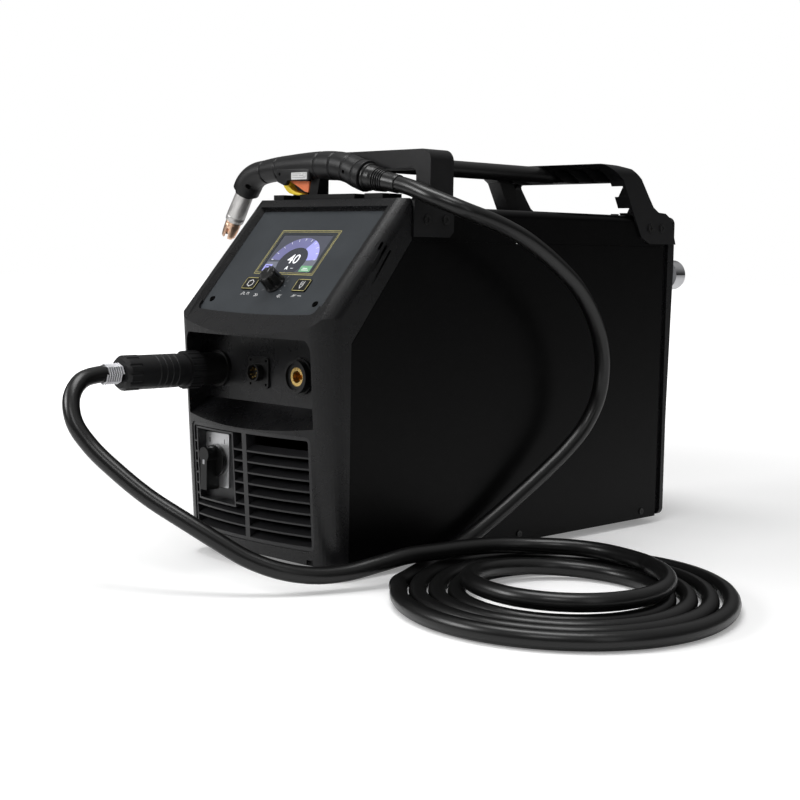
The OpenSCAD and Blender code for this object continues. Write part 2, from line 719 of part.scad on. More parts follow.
module control_connector() placed() color([0.1, 0.1, 0.1]) on_wall(control_x) difference() {
    union() {
        linear_extrude(2.5) rounded(34, 34, 4);
        cylinder(h = 10.6, r = 10);
        translate([0, 0, -18]) cylinder(h = 19, r = 10);
        translate([0, 0, -bezel_t - seat - 3]) cylinder(h = 3, r = 13, $fn = 6);
    }
    translate([0, 0, 4]) cylinder(h = 10, r = 8.2);
    for (x = [-13, 13], y = [-13, 13]) translate([x, y, -1]) cylinder(h = 6, r = 1.6);
}

module connector_pins() placed() color([0.8, 0.68, 0.35]) on_wall(control_x)
    for (i = [0:6]) rotate([0, 0, i * 360 / 7]) translate([5.2, 0, 4]) cylinder(h = 5, r = 0.8);

module earth_socket() placed() color([0.08, 0.08, 0.08]) on_wall(earth_x) difference() {
    union() {
        cylinder(h = 3, r = 19.5);
        cylinder(h = 10, r = 17.5);
        translate([0, 0, -24]) cylinder(h = 25, r = 15);
        translate([0, 0, -bezel_t - seat - 5]) cylinder(h = 5, r = 19, $fn = 6);
    }
    translate([0, 0, -30]) cylinder(h = 50, r = 10 + seat);
    translate([0, 0, 7.5]) cylinder(h = 5, r = 14.5);
}

module earth_insert() placed() color([0.8, 0.66, 0.32]) on_wall(earth_x) difference() {
    union() {
        translate([0, 0, -34]) cylinder(h = 41, r = 10);
    }
    translate([0, 0, -18]) cylinder(h = 40, r = 6.5);
    translate([0, -2.5, 1]) cube([9, 5, 20]);
    translate([0, 0, -40]) cylinder(h = 14, r = 4);
}

// Power part inside: heat sink on the tray, board on posts over it, capacitors on the board
sink_w = 110;
sink_h = 40;
sink_y0 = y_front + 140;
sink_y1 = sink_y0 + 230;
deck_z = tray_z + sink_h + 8;

module heat_sink() placed() color([0.7, 0.71, 0.72]) along_y(sink_y0, sink_y1)
    translate([0, tray_z]) {
        translate([-sink_w / 2, sink_h - 6]) square([sink_w, 6]);
        for (i = [0:11]) translate([-sink_w / 2 + i * (sink_w - 2.4) / 11, 0])
            square([2.4, sink_h - 5]);
    }

module power_board() placed() color([0.06, 0.28, 0.14]) {
    translate([-70, sink_y0 - 20, deck_z]) cube([140, 260, 1.6]);
    for (x = [-50, 50], y = [sink_y0 + 8, sink_y1 - 20]) translate([x, y, deck_z - 8])
        cylinder(h = 8.01, r = 3.5);
    for (i = [0:3]) translate([20, sink_y0 + 10 + 45 * i, deck_z + 1.5]) cube([34, 22, 10]);
}

module capacitors() placed() color([0.1, 0.12, 0.3])
    for (i = [0:3]) translate([-40, sink_y0 + 10 + 50 * i, deck_z + 1.6]) cylinder(h = 46, r = 16);

module transformer() placed() color([0.3, 0.25, 0.2]) translate([-117, sink_y0 + 60, tray_z]) {
    difference() {
        cube([46, 66, 52]);
        translate([-1, 10, 10]) cube([48, 46, 32]);
    }
    translate([3, 26, 9]) cube([40, 14, 34]);
    translate([1, 16, 13]) cube([44, 34, 26]);
}

module choke() placed() color([0.65, 0.4, 0.2]) translate([92, sink_y0 + 80, tray_z + 10])
    rotate_extrude() translate([17, 0]) square([16, 20], center = true);

// Fan on the rear wall, local z from the wall towards the front
module at_fan() translate([0, wall_y, fan_z]) rotate([90, 0, 0]) children();

module fan_frame() placed() color([0.06, 0.06, 0.06]) at_fan() {
    difference() {
        linear_extrude(38) difference() {
            rounded(fan_d + 7, fan_d + 7, 6);
            circle(r = fan_d / 2);
        }
        for (x = [-52, 52], y = [-52, 52]) translate([x, y, -1]) cylinder(h = 40, r = 2.2);
    }
    cylinder(h = 6, r = 18);
    cylinder(h = 33, r = 3);
    for (a = [45:90:315]) rotate([0, 0, a]) translate([16, -2, 0]) cube([fan_d / 2 - 15.5, 4, 4]);
}

module fan_rotor() placed() color([0.12, 0.12, 0.12]) at_fan() difference() {
    union() {
        translate([0, 0, 7]) cylinder(h = 25, r = 20);
        for (i = [0:6]) rotate([0, 0, i * 360 / 7]) translate([36, 0, 19.5]) rotate([38, 0, 0])
            cube([34, 26, 1.8], center = true);
    }
    translate([0, 0, 6]) cylinder(h = 28, r = 3 + fit);
}

module fan_guard() placed() color([0.1, 0.1, 0.1]) translate([0, wall_y + wall_t, fan_z])
    rotate([-90, 0, 0]) linear_extrude(3) {
        for (r = [12, 24, 36, 48, 59]) difference() {
            circle(r = r);
            circle(r = r - 3);
        }
        for (a = [0, 45, 90, 135]) rotate(a) square([117, 3], center = true);
    }

module solenoid_valve() placed() color([0.75, 0.6, 0.3])
    translate([35, wall_y - 40, gauge_z - 20]) {
        cube([32, 40, 26]);
        translate([16, 20, 25.9]) cylinder(h = 34, r = 14);
    }

// Filter regulator behind the rear wall, with its bracket, ports and spindle
module regulator() placed() color([0.3, 0.31, 0.33]) {
    translate([gauge_x, inlet_y, gauge_z - 30]) cylinder(h = 56, r = inlet_r);
    translate([gauge_x, inlet_y, gauge_z - 74]) cylinder(h = 44.1, r = inlet_r - 2);
    translate([gauge_x - 8, wall_y + wall_t, gauge_z - 20]) cube([16, inlet_r, 40]);
    translate([gauge_x, inlet_y, gauge_z]) rotate([0, -90, 0]) cylinder(h = 18, r = 9);
    translate([gauge_x, inlet_y, gauge_z]) rotate([-90, 0, 0])
        cylinder(h = gauge_y - 20 - inlet_y - seat, r = 5);
    translate([gauge_x, inlet_y, gauge_z + 25]) cylinder(h = 14, r = 4);
}

module regulator_knob() placed() color([0.06, 0.06, 0.06])
    translate([gauge_x, inlet_y, gauge_z + 26.5]) difference() {
        cylinder(h = 22, r = inlet_r - 1);
        for (i = [0:11]) rotate([0, 0, 30 * i]) translate([inlet_r + 0.4, 0, 3]) cylinder(h = 30, r = 2);
        translate([0, 0, -1]) cylinder(h = 15, r = 4 + fit);
    }

module at_gauge(y) translate([gauge_x, y, gauge_z]) rotate([-90, 0, 0]) children();

module pressure_gauge() placed() color([0.85, 0.85, 0.86]) at_gauge(gauge_y - 20) {
    difference() {
        cylinder(h = 20, r = 19);
        translate([0, 0, 12]) cylinder(h = 10, r = 17);
    }
    cylinder(h = 15, r = 1);
}

module gauge_needle() placed() color([0.05, 0.05, 0.05]) at_gauge(gauge_y - 7.4) difference() {
    union() {
        cylinder(h = 1.6, r = 2.6);
        rotate([0, 0, -45]) translate([-0.7, -6, 0.4]) cube([1.4, 20, 0.8]);
    }
    translate([0, 0, -1]) cylinder(h = 4, r = 1 + fit);
}

module gauge_lens() placed() color([0.9, 0.92, 0.95]) at_gauge(gauge_y - 2.6)
    cylinder(h = 1.6, r = 17 - fit);

// Hose nipple on an elbow at the side of the regulator
module air_inlet() placed() color([0.75, 0.62, 0.32])
    translate([gauge_x - 18, inlet_y, gauge_z]) difference() {
        union() {
            rotate([0, -90, 0]) cylinder(h = 8, r = 9.5, $fn = 6);
            rotate([0, -90, 0]) cylinder(h = 17, r = 6.5);
            translate([-17, -8, 0]) rotate([-90, 0, 0]) cylinder(h = 16, r = 8);
            translate([-17, 0, 0]) rotate([-90, 0, 0]) cylinder(h = 24, r = 6.5);
            translate([-17, 19, 0]) rotate([-90, 0, 0]) cylinder(h = 4, r = 7.5);
            translate([-17, 0, 0]) rotate([-90, 0, 0]) cylinder(h = 32, r = 5);
        }
        translate([-3, 0, 0]) rotate([0, -90, 0]) cylinder(h = 14, r = 3.5);
        translate([-17, -3, 0]) rotate([-90, 0, 0]) cylinder(h = 40, r = 3.5);
    }

module mains_gland() placed() color([0.08, 0.08, 0.08])
    translate([gland_x, wall_y + wall_t, gland_z]) rotate([-90, 0, 0]) difference() {
        union() {
            cylinder(h = 6, r = 15, $fn = 6);
            cylinder(h = 18, r = 12.5);
            translate([0, 0, 18]) cylinder(h = 5, r = 10.5);
            translate([0, 0, -13]) cylinder(h = 14, r = 10);
            translate([0, 0, -wall_t - seat - 5]) cylinder(h = 5, r = 14, $fn = 6);
        }
        translate([0, 0, -20]) cylinder(h = 50, r = 6);
    }

// Torch rest: three pads over the edge of the bezel and the cover, a strip that joins them
// and the cradle under the grip
module torch_rest() placed() color([0.07, 0.07, 0.07]) difference() {
    union() {
        for (p = [[-94, -76.5], [-48, 42], [58, 86]])
            translate([p[0], y_bezel_back - 7, z_top]) cube([p[1] - p[0], 29, rest_z - z_top]);
        translate([-94, y_bezel_back + 14, z_top]) cube([180, 8, 6]);
        along_y(torch_y - 7, torch_y + 7) polygon([[-40, rest_z - 1], [-26, rest_z - 1],
            [-21.5, handle_top - 26], [-35.5, handle_top - 26]]);
    }
    translate([-110, y_cut - 20, z_top - 5]) cube([200, 20 + 0.01, 5 + bezel_top - z_top + seat]);
    translate([-110, torch_y, handle_top - 15.3]) rotate([0, 90, 0]) cylinder(h = 220, r = grip_r + 0.4);
}

function unit(v) = v / norm(v);

// Ring of n points with radius r around p, square to t; ref is never along t
function ring(p, t, ref, r, n) = let (a = unit(cross(ref, t)), b = cross(t, a))
    [for (k = [0:n - 1]) p + r * (cos(360 * k / n) * a + sin(360 * k / n) * b)];

// Tangents along a route, with given directions at its two ends
function dirs(p, t0, t1) = [for (i = [0:len(p) - 1])
    i == 0 ? t0 : i == len(p) - 1 ? t1 : unit(p[i + 1] - p[i - 1])];

// Closed skin over rings of n points; a shell ring has its outer arc first, then its inner arc
module skin(rings, shell = false) {
    n = len(rings[0]);
    last = (len(rings) - 1) * n;
    side = [for (i = [0:len(rings) - 2], k = [0:n - 1]) let (a = i * n + k, b = i * n + (k + 1) % n)
        each [[a, a + n, b + n], [a, b + n, b]]];
    ends = shell ? [for (k = [0:n / 2 - 2]) let (j = n - 1 - k)
            each [[k, k + 1, j - 1], [k, j - 1, j],
                [last + k, last + j - 1, last + k + 1], [last + k, last + j, last + j - 1]]]
        : [for (k = [1:n - 2]) each [[0, k, k + 1], [last, last + k + 1, last + k]]];
    polyhedron(points = [for (r = rings) each r], faces = concat(side, ends));
}

// Half shell of the grip on one side of its parting plane, m = -1 in front, 1 behind
function grip_dir(i) = let (a = grip_line[max(i - 1, 0)],
    b = grip_line[min(i + 1, len(grip_line) - 1)]) unit([b[0] - a[0], b[1] - a[1]]);

function grip_ring(i, m) = let (s = grip_line[i], d = grip_dir(i), r = grip_r + s[2],
    arc_out = [for (k = [0:8]) [r * cos(22.5 * k), r * sin(22.5 * k)]],
    q = r - grip_wall, arc_in = [for (k = [8:-1:0]) [q * cos(22.5 * k), q * sin(22.5 * k)]],
    pts = concat(arc_out, arc_in))
    [for (c = pts) [s[0] - d[1] * c[0], torch_y + m * (c[1] + 0.05),
        handle_top + s[1] + d[0] * c[0]]];

module torch_pin_holes() for (p = [[trigger_x, trigger_z], [safety_x, safety_z]])
    translate([p[0], torch_y, p[1]]) rotate([90, 0, 0])
        cylinder(h = 60, r = pin_r + fit, center = true);

module grip_half(m) difference() {
    rings = [for (i = [0:len(grip_line) - 1]) grip_ring(m < 0 ? i : len(grip_line) - 1 - i, m)];
    skin(rings, true);
    translate([-90, torch_y - 8, handle_top - 60]) cube([54, 16, 40]);
    torch_pin_holes();
    for (x = [-148, 26]) translate([x, torch_y, handle_top - (x < 0 ? 31 : 24)]) rotate([90, 0, 0])
        cylinder(h = 60, r = 1.8, center = true);
}

module torch_grip_left() placed() color([0.12, 0.12, 0.125]) grip_half(-1);

module torch_grip_right() placed() color([0.12, 0.12, 0.125]) grip_half(1);

// Frame of the torch head, its local -z along the cup
module at_mouth() translate(mouth) rotate([0, head_tilt, 0]) children();

module torch_head() placed() color([0.2, 0.2, 0.2]) {
    at_mouth() cylinder(h = 17, r = 10);
    at_mouth() translate([0, 0, -4]) cylinder(h = 5, r = cup_d / 2 + 1.4);
    at_mouth() translate([0, 0, 1]) cylinder(h = 4, r = grip_r - grip_wall - 0.7);
    at_mouth() translate([0, 0, 14]) sphere(r = 7.5);
}

module retaining_cup() placed() color([0.75, 0.75, 0.76]) at_mouth() translate([0, 0, -4 - cup_l + 3])
    rotate_extrude() polygon([[shield_d / 2 - 2, 0], [cup_d / 2 - 1.4, 0], [cup_d / 2 - 0.4, 2],
        [cup_d / 2, cup_l - 3], [cup_d / 2 - 4, cup_l - 3], [cup_d / 2 - 4, 4], [shield_d / 2 - 2, 4]]);

module nozzle() placed() color([0.72, 0.42, 0.25]) at_mouth() translate([0, 0, -1 - cup_l]) {
    z1 = -tip_l + 1 + cup_l;
    difference() {
        union() {
            translate([0, 0, -9]) cylinder(h = 9, r = shield_d / 2);
            translate([0, 0, -12]) cylinder(h = 3.5, r = 5.6);
            translate([0, 0, z1]) cylinder(h = -z1, r = 4.2);
            cylinder(h = 6, r = shield_d / 2 - 2 - fit);
        }
        translate([0, 0, z1 - 1]) cylinder(h = 50, r = 1.5);
        translate([-6, -1, z1 - 1]) cube([12, 2, 13]);
    }
}

// Trigger on its pin, thin towards the head; safety lever in front of it
module torch_trigger() placed() color([0.9, 0.45, 0.22]) translate([0, torch_y, 0]) {
    rotate([90, 0, 0]) linear_extrude(trigger_w, center = true) polygon([
        for (p = [[-3, 0], [29.8, -3.5], [29.8, -14], [28.3, -22.5], [22, -21.4], [13, -16.6],
            [1.5, -11.5], [-3, -9]]) [trigger_x + p[0], trigger_z + p[1]]]);
    translate([trigger_x, 0, trigger_z]) rotate([90, 0, 0]) cylinder(h = trigger_w, r = 3, center = true);
    translate([trigger_x, 0, trigger_z]) rotate([90, 0, 0]) cylinder(h = 23.6, r = pin_r, center = true);
}

module safety_lever() placed() color([0.9, 0.8, 0.1]) translate([safety_x, torch_y, safety_z]) {
    rotate([90, 0, 0]) linear_extrude(10, center = true) polygon([
        [-2.6, 0], [-5, -12.4], [4.8, -21.6], [20.5, -24], [27, -23.4], [26.8, -22], [18, -20.8],
        [10, -18], [3.6, -13], [2.6, 0]]);
    rotate([90, 0, 0]) cylinder(h = 10, r = 2.6, center = true);
    rotate([90, 0, 0]) cylinder(h = 22.6, r = pin_r, center = true);
}

// Metal collar behind the grip and the ribbed sleeve of the lead
boot_at = [grip_end[0] + 1.2, torch_y, handle_top + grip_end[1] - 0.3];
boot_len = 48;
boot_dir = [cos(boot_tilt), 0, -sin(boot_tilt)];
boot_end = boot_at + boot_len * boot_dir;

module lead_boot() placed() color([0.2, 0.2, 0.2]) translate(boot_at) rotate([0, 90 + boot_tilt, 0])
    rotate_extrude() polygon(concat([[lead_r, 0], [grip_r - 0.6, 0], [grip_r - 0.6, 3.4],
        [grip_r - 2.4, 4.4], [lead_r + 4.4, 11], [lead_r + 3, 13.6]],
        [for (i = [0:4]) each [[lead_r + 4.2 - 0.35 * i, 14.4 + 3.1 * i],
            [lead_r + 4.1 - 0.35 * i, 16.2 + 3.1 * i], [lead_r + 2.4 - 0.2 * i, 16.9 + 3.1 * i]]],
        [[lead_r + 1.5, 31.5], [lead_r + 1, boot_len], [0, boot_len], [0, boot_len - 8],
            [lead_r, boot_len - 8]]));

// Coil of the lead on the floor: it spirals in on the floor, climbs one layer in half a turn
// and runs out again on top. Turns are counted from the side of the torch
coil_x = 326;
coil_y = -150;
coil_drift = [1.5, -3];
coil_r0 = 184;
coil_in = 22;
coil_out = 12;
coil_floor = 3.62;
coil_turns = 4.62;
coil_start = 224;
coil_oval = 0.08;
coil_oval_at = 125;
layer = lead_d + 0.7;

function ease(v) = let (c = max(0, min(1, v))) c * c * (3 - 2 * c);

function coil_radius(u) = coil_r0 - coil_in * min(u, coil_floor)
    + coil_out * max(0, u - coil_floor - 0.5);

function coil_at(u) = let (a = coil_start + 360 * u,
    r = coil_radius(u) * (1 + coil_oval * cos(2 * (a - coil_oval_at))))
    [coil_x + coil_drift[0] * u + r * cos(a), coil_y + coil_drift[1] * u + r * sin(a),
        lead_r + layer * ease(2 * (u - coil_floor))];

coil_path = [for (i = [0:coil_turns * 24]) coil_at(i / 24)];
coil_n = len(coil_path);
coil_t0 = unit(coil_path[1] - coil_path[0]);
coil_t1 = unit(coil_path[coil_n - 1] - coil_path[coil_n - 2]);
coil_first = coil_path[0] - lead_d * coil_t0;
coil_last = coil_path[coil_n - 1] + lead_d * coil_t1;

// Least gap of the coil to itself, measured between points half a turn or more apart
coil_samples = [for (i = [0:floor(coil_turns * 40)]) coil_at(i / 40)];
coil_gap = min([for (i = [0:len(coil_samples) - 21], j = [i + 20:len(coil_samples) - 1])
    norm(coil_samples[i] - coil_samples[j])]) - lead_d;
echo(coil_gap = coil_gap);

module lead_coil() placed() color([0.03, 0.03, 0.03]) {
    path = concat([coil_first], coil_path, [coil_last]);
    t = dirs(path, coil_t0, coil_t1);
    skin([for (i = [0:len(path) - 1]) ring(path[i], i == 1 ? coil_t0 : i == len(path) - 2 ? coil_t1
        : t[i], [0, 0, 1], lead_r, 6)]);
}

// Free stretch from the torch down beside the case to the coil
upper_route = [[118, -173, 411.5], [152, -171, 400], [178, -154, 388], [190, -118, 376],
    [194, -80, 362], [193, -46, 347], [190, -10, 329], [186, 26, 308], [181, 58, 281],
    [176, 83, 249], [171, 97, 213], [166, 97, 177], [160, 82, 144], [155, 54, 117],
    [150, 22, 94], [145, -14, 71], [141, -54, 48], [139, -94, 29], [142, -134, 17],
    [150, -168, 10], [162, -197, 9], [175, -224, 9]];

module lead_upper() placed() color([0.03, 0.03, 0.03]) {
    path = concat([boot_end], upper_route, [coil_first]);
    t = dirs(path, boot_dir, coil_t0);
    skin([for (i = [0:len(path) - 1]) ring(path[i], t[i], [1, 0.2, 1], lead_r, 12)]);
}

// Free stretch from the coil over its first turns and up to the connector
lower_route = [[287, -38, 28], [248, -46, 28], [215, -68, 28], [190, -102, 29], [176, -140, 29],
    [170, -180, 29], [166, -218, 29], [159, -252, 24], [148, -288, 18], [136, -322, 18],
    [119, -354, 25], [98, -378, 37], [76, -398, 54], [50, -418, 73], [18, -438, 94],
    [-12, -454, 117], [-40, -468, 142], [-58, -476, 166], [-71, -471, 190], [-79, -454, 206]];
plug_end = [socket_x, plug_y1 - nut_l, socket_z];

module lead_lower() placed() color([0.03, 0.03, 0.03]) {
    path = concat([coil_last], lower_route, [plug_end - [0, spring_len + 3, 0], plug_end]);
    t = dirs(path, coil_t1, [0, 1, 0]);
    skin([for (i = [0:len(path) - 1]) ring(path[i], t[i], [1, -1, 0.3], lead_r, 12)]);
}

// Connector on the lead; local z runs from the machine outwards
module on_plug(y) translate([socket_x, y, socket_z]) rotate([90, 0, 0]) children();

module plug_body() placed() color([0.05, 0.05, 0.05]) on_plug(sock_y) difference() {
    union() {
        translate([0, 0, -20]) cylinder(h = 21, r = plug_r - 5.5 - fit);
        translate([0, 0, seat]) cylinder(h = ring_l + 3, r = plug_r - 1.5);
        translate([0, 0, ring_l + 2]) cylinder(h = 11, r = plug_r - 0.8);
        translate([0, 0, ring_l + 12]) cylinder(h = sock_y - plug_y1 - ring_l - 12, r = plug_r + 0.5);
    }
    for (z = [36:8:66]) translate([0, 0, z]) rotate_extrude() translate([plug_r + 0.8, 0])
        circle(r = 1);
}

module plug_ring() placed() color([0.06, 0.06, 0.06]) on_plug(ring_y0) difference() {
    cylinder(h = ring_l, r = plug_r + 3);
    translate([0, 0, -1]) cylinder(h = ring_l + 2, r = plug_r - 1.5 + fit);
    for (i = [0:17]) rotate([0, 0, i * 20]) translate([plug_r + 3.6, 0, -1]) cylinder(h = ring_l + 2, r = 1.4);
}

module plug_nut() placed() color([0.07, 0.07, 0.07]) on_plug(plug_y1) difference() {
    union() {
        cylinder(h = nut_l - 4, r = nut_d / 2);
        translate([0, 0, nut_l - 4.01]) cylinder(h = 4.01, r1 = nut_d / 2, r2 = nut_d / 2 - 3);
    }
    for (i = [0:11]) rotate([0, 0, i * 30]) translate([nut_d / 2 + 1, 0, 3]) cylinder(h = 30, r = 2);
}

// Strain spring around the lead behind the nut
spring_r = lead_r + 0.4 + spring_wire / 2;

module plug_spring() placed() color([0.6, 0.6, 0.62]) on_plug(plug_y1 - nut_l) {
    rise = (spring_len - spring_wire) / spring_turns;
    path = [for (i = [0:8 * spring_turns]) let (a = 45 * i)
        [spring_r * cos(a), spring_r * sin(a), seat + spring_wire / 2 + rise * i / 8]];
    n = len(path);
    t = dirs(path, unit(path[1] - path[0]), unit(path[n - 1] - path[n - 2]));
    skin([for (i = [0:n - 1]) ring(path[i], t[i], [0, 0, 1], spring_wire / 2, 6)]);
}

base_tray();
feet();
left_side_panel();
right_side_panel();
top_cover();
front_bezel();
front_grille();
rear_bezel();
front_handle();
rear_handle();
handle_tube();
control_plate();
display_window();
control_board();
encoder_knob();
left_button();
right_button();
torch_socket();
control_connector();
connector_pins();
earth_socket();
earth_insert();
switch_plate();
switch_body();
switch_lever();
side_screws();
handle_screws();
front_screws();
heat_sink();
power_board();
capacitors();
transformer();
choke();
fan_frame();
fan_rotor();
fan_guard();
solenoid_valve();
regulator();
regulator_knob();
pressure_gauge();
gauge_needle();
gauge_lens();
air_inlet();
mains_gland();
torch_rest();
torch_grip_left();
torch_grip_right();
torch_head();
retaining_cup();
nozzle();
torch_trigger();
safety_lever();
lead_boot();
lead_upper();
lead_coil();
lead_lower();
plug_body();
plug_ring();
plug_nut();
plug_spring();
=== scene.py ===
"""Inverter plasma cutter with its torch and coiled lead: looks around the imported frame."""
import math

import bmesh
import bpy
from mathutils import Matrix, Vector


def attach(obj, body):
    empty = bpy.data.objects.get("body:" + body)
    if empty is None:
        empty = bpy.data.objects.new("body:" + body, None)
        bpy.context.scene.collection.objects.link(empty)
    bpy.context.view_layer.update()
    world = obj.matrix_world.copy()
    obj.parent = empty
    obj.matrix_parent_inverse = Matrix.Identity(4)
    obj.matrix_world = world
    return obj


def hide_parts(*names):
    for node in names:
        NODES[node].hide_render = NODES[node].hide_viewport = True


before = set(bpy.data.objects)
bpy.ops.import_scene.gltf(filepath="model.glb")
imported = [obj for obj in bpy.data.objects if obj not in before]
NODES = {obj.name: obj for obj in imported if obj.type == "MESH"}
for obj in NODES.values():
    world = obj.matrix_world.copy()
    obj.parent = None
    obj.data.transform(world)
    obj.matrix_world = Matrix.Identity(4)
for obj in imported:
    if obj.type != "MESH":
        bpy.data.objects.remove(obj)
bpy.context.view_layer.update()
scene = bpy.context.scene
scene.view_settings.view_transform = "Standard"

# ---------------------------------------------------------------- case coordinates
# Case coordinates are in mm with the middle plane of the case at x = 0; the row frame is in m
SHIFT = Vector((37.002, -14.897, 0))


def P(x, y, z):
    return (Vector((x, y, z)) + SHIFT) / 1000


SLOPE = math.radians(48.4)
UP_SLOPE = Vector((0, math.cos(SLOPE), math.sin(SLOPE)))
OUT_SLOPE = Vector((0, -math.sin(SLOPE), math.cos(SLOPE)))
PLATE_H = -5.5 + 0.2 + 2.5  # film: pocket depth, seating gap, thickness of the plate
RAMP_Y, RAMP_Z = -292, 278  # lower edge of the slope
KNOB = (3.5, 41)
LEFT_BUTTON, RIGHT_BUTTON = (-37.5, 40.5), (47, 40.5)


def ramp(x, s, h=PLATE_H):
    """Point on the sloping control panel: across, up the slope and out of it, in mm."""
    return P(x, RAMP_Y + s * UP_SLOPE.y + h * OUT_SLOPE.y,
             RAMP_Z + s * UP_SLOPE.z + h * OUT_SLOPE.z)


# ---------------------------------------------------------------- camera
FOCAL_PX = 1497  # focal length in pixels of the 800-pixel picture


def add_camera():
    az, el, roll = (math.radians(a) for a in (45.08, 5.69, 0.93))
    fwd = Vector((-math.sin(az) * math.cos(el), math.cos(az) * math.cos(el), -math.sin(el)))
    right = Vector((math.cos(az), math.sin(az), 0))
    up = right.cross(fwd)
    x = right * math.cos(roll) + up * math.sin(roll)
    y = -right * math.sin(roll) + up * math.cos(roll)
    data = bpy.data.cameras.new("camera")
    data.sensor_width = 36
    data.lens = FOCAL_PX * data.sensor_width / 800
    cam = bpy.data.objects.new("camera", data)
    scene.collection.objects.link(cam)
    m = Matrix((x, y, -fwd)).transposed().to_4x4()
    m.translation = P(1245.6, -1309.2, 344.8)
    cam.matrix_world = m
    scene.camera = cam


add_camera()


# ---------------------------------------------------------------- materials
def material(name, color, rough, metal=0.0, grain=(1500, 0.1), mottle=0.12, rough_var=0.06,
             spec=0.5, coat=0.0, brush=None, emit=0.0, dust=0.0):
    """Principled material in row-frame metres: colour mottling, fine grain bump, worn gloss."""
    m = bpy.data.materials.new(name)
    m.use_nodes = True
    nt = m.node_tree
    bsdf = nt.nodes["Principled BSDF"]
    new = nt.nodes.new
    tex = new("ShaderNodeTexCoord")
    mapping = new("ShaderNodeMapping")
    nt.links.new(tex.outputs["Object"], mapping.inputs["Vector"])
    if brush:
        mapping.inputs["Scale"].default_value = brush
    bsdf.inputs["Metallic"].default_value = metal
    bsdf.inputs["Specular IOR Level"].default_value = spec
    bsdf.inputs["Coat Weight"].default_value = coat
    bsdf.inputs["Coat Roughness"].default_value = 0.08
    # colour: large soft patches over fine speckle
    big = new("ShaderNodeTexNoise")
    big.inputs["Scale"].default_value = 22
    big.inputs["Detail"].default_value = 5
    nt.links.new(tex.outputs["Object"], big.inputs["Vector"])
    ramp_c = new("ShaderNodeValToRGB")
    lo, hi = 1 - mottle, 1 + mottle
    ramp_c.color_ramp.elements[0].position = 0.3
    ramp_c.color_ramp.elements[1].position = 0.7
    ramp_c.color_ramp.elements[0].color = (*[max(0, c * lo) for c in color], 1)
    ramp_c.color_ramp.elements[1].color = (*[min(1, c * hi) for c in color], 1)
    nt.links.new(big.outputs["Fac"], ramp_c.inputs["Fac"])
    out = ramp_c.outputs["Color"]
    if dust:
        fine = new("ShaderNodeTexNoise")
        fine.inputs["Scale"].default_value = 420
        fine.inputs["Detail"].default_value = 6
        nt.links.new(tex.outputs["Object"], fine.inputs["Vector"])
        cut = new("ShaderNodeMapRange")
        cut.inputs["From Min"].default_value = 0.62
        cut.inputs["From Max"].default_value = 0.8
        cut.inputs["To Max"].default_value = dust
        nt.links.new(fine.outputs["Fac"], cut.inputs["Value"])
        mix = new("ShaderNodeMix")
        mix.data_type = "RGBA"
        mix.inputs["B"].default_value = (0.35, 0.34, 0.33, 1)
        nt.links.new(cut.outputs["Result"], mix.inputs["Factor"])
        nt.links.new(out, mix.inputs["A"])
        out = mix.outputs["Result"]
    nt.links.new(out, bsdf.inputs["Base Color"])
    # gloss: handled areas vary a little
    var = new("ShaderNodeTexNoise")
    var.inputs["Scale"].default_value = 55
    var.inputs["Detail"].default_value = 6
    nt.links.new(mapping.outputs["Vector"], var.inputs["Vector"])
    rng = new("ShaderNodeMapRange")
    rng.inputs["To Min"].default_value = max(0.02, rough - rough_var)
    rng.inputs["To Max"].default_value = min(1, rough + rough_var)
    nt.links.new(var.outputs["Fac"], rng.inputs["Value"])
    nt.links.new(rng.outputs["Result"], bsdf.inputs["Roughness"])
    # relief: moulding grain, paint texture or brushing
    scale, strength = grain
    fine = new("ShaderNodeTexNoise")
    fine.inputs["Scale"].default_value = scale
    fine.inputs["Detail"].default_value = 3
    nt.links.new(mapping.outputs["Vector"], fine.inputs["Vector"])
    bump = new("ShaderNodeBump")
    bump.inputs["Strength"].default_value = strength
    bump.inputs["Distance"].default_value = 0.0004
    nt.links.new(fine.outputs["Fac"], bump.inputs["Height"])
    nt.links.new(bump.outputs["Normal"], bsdf.inputs["Normal"])
    if emit:
        bsdf.inputs["Emission Color"].default_value = (*color, 1)
        bsdf.inputs["Emission Strength"].default_value = emit
    return m


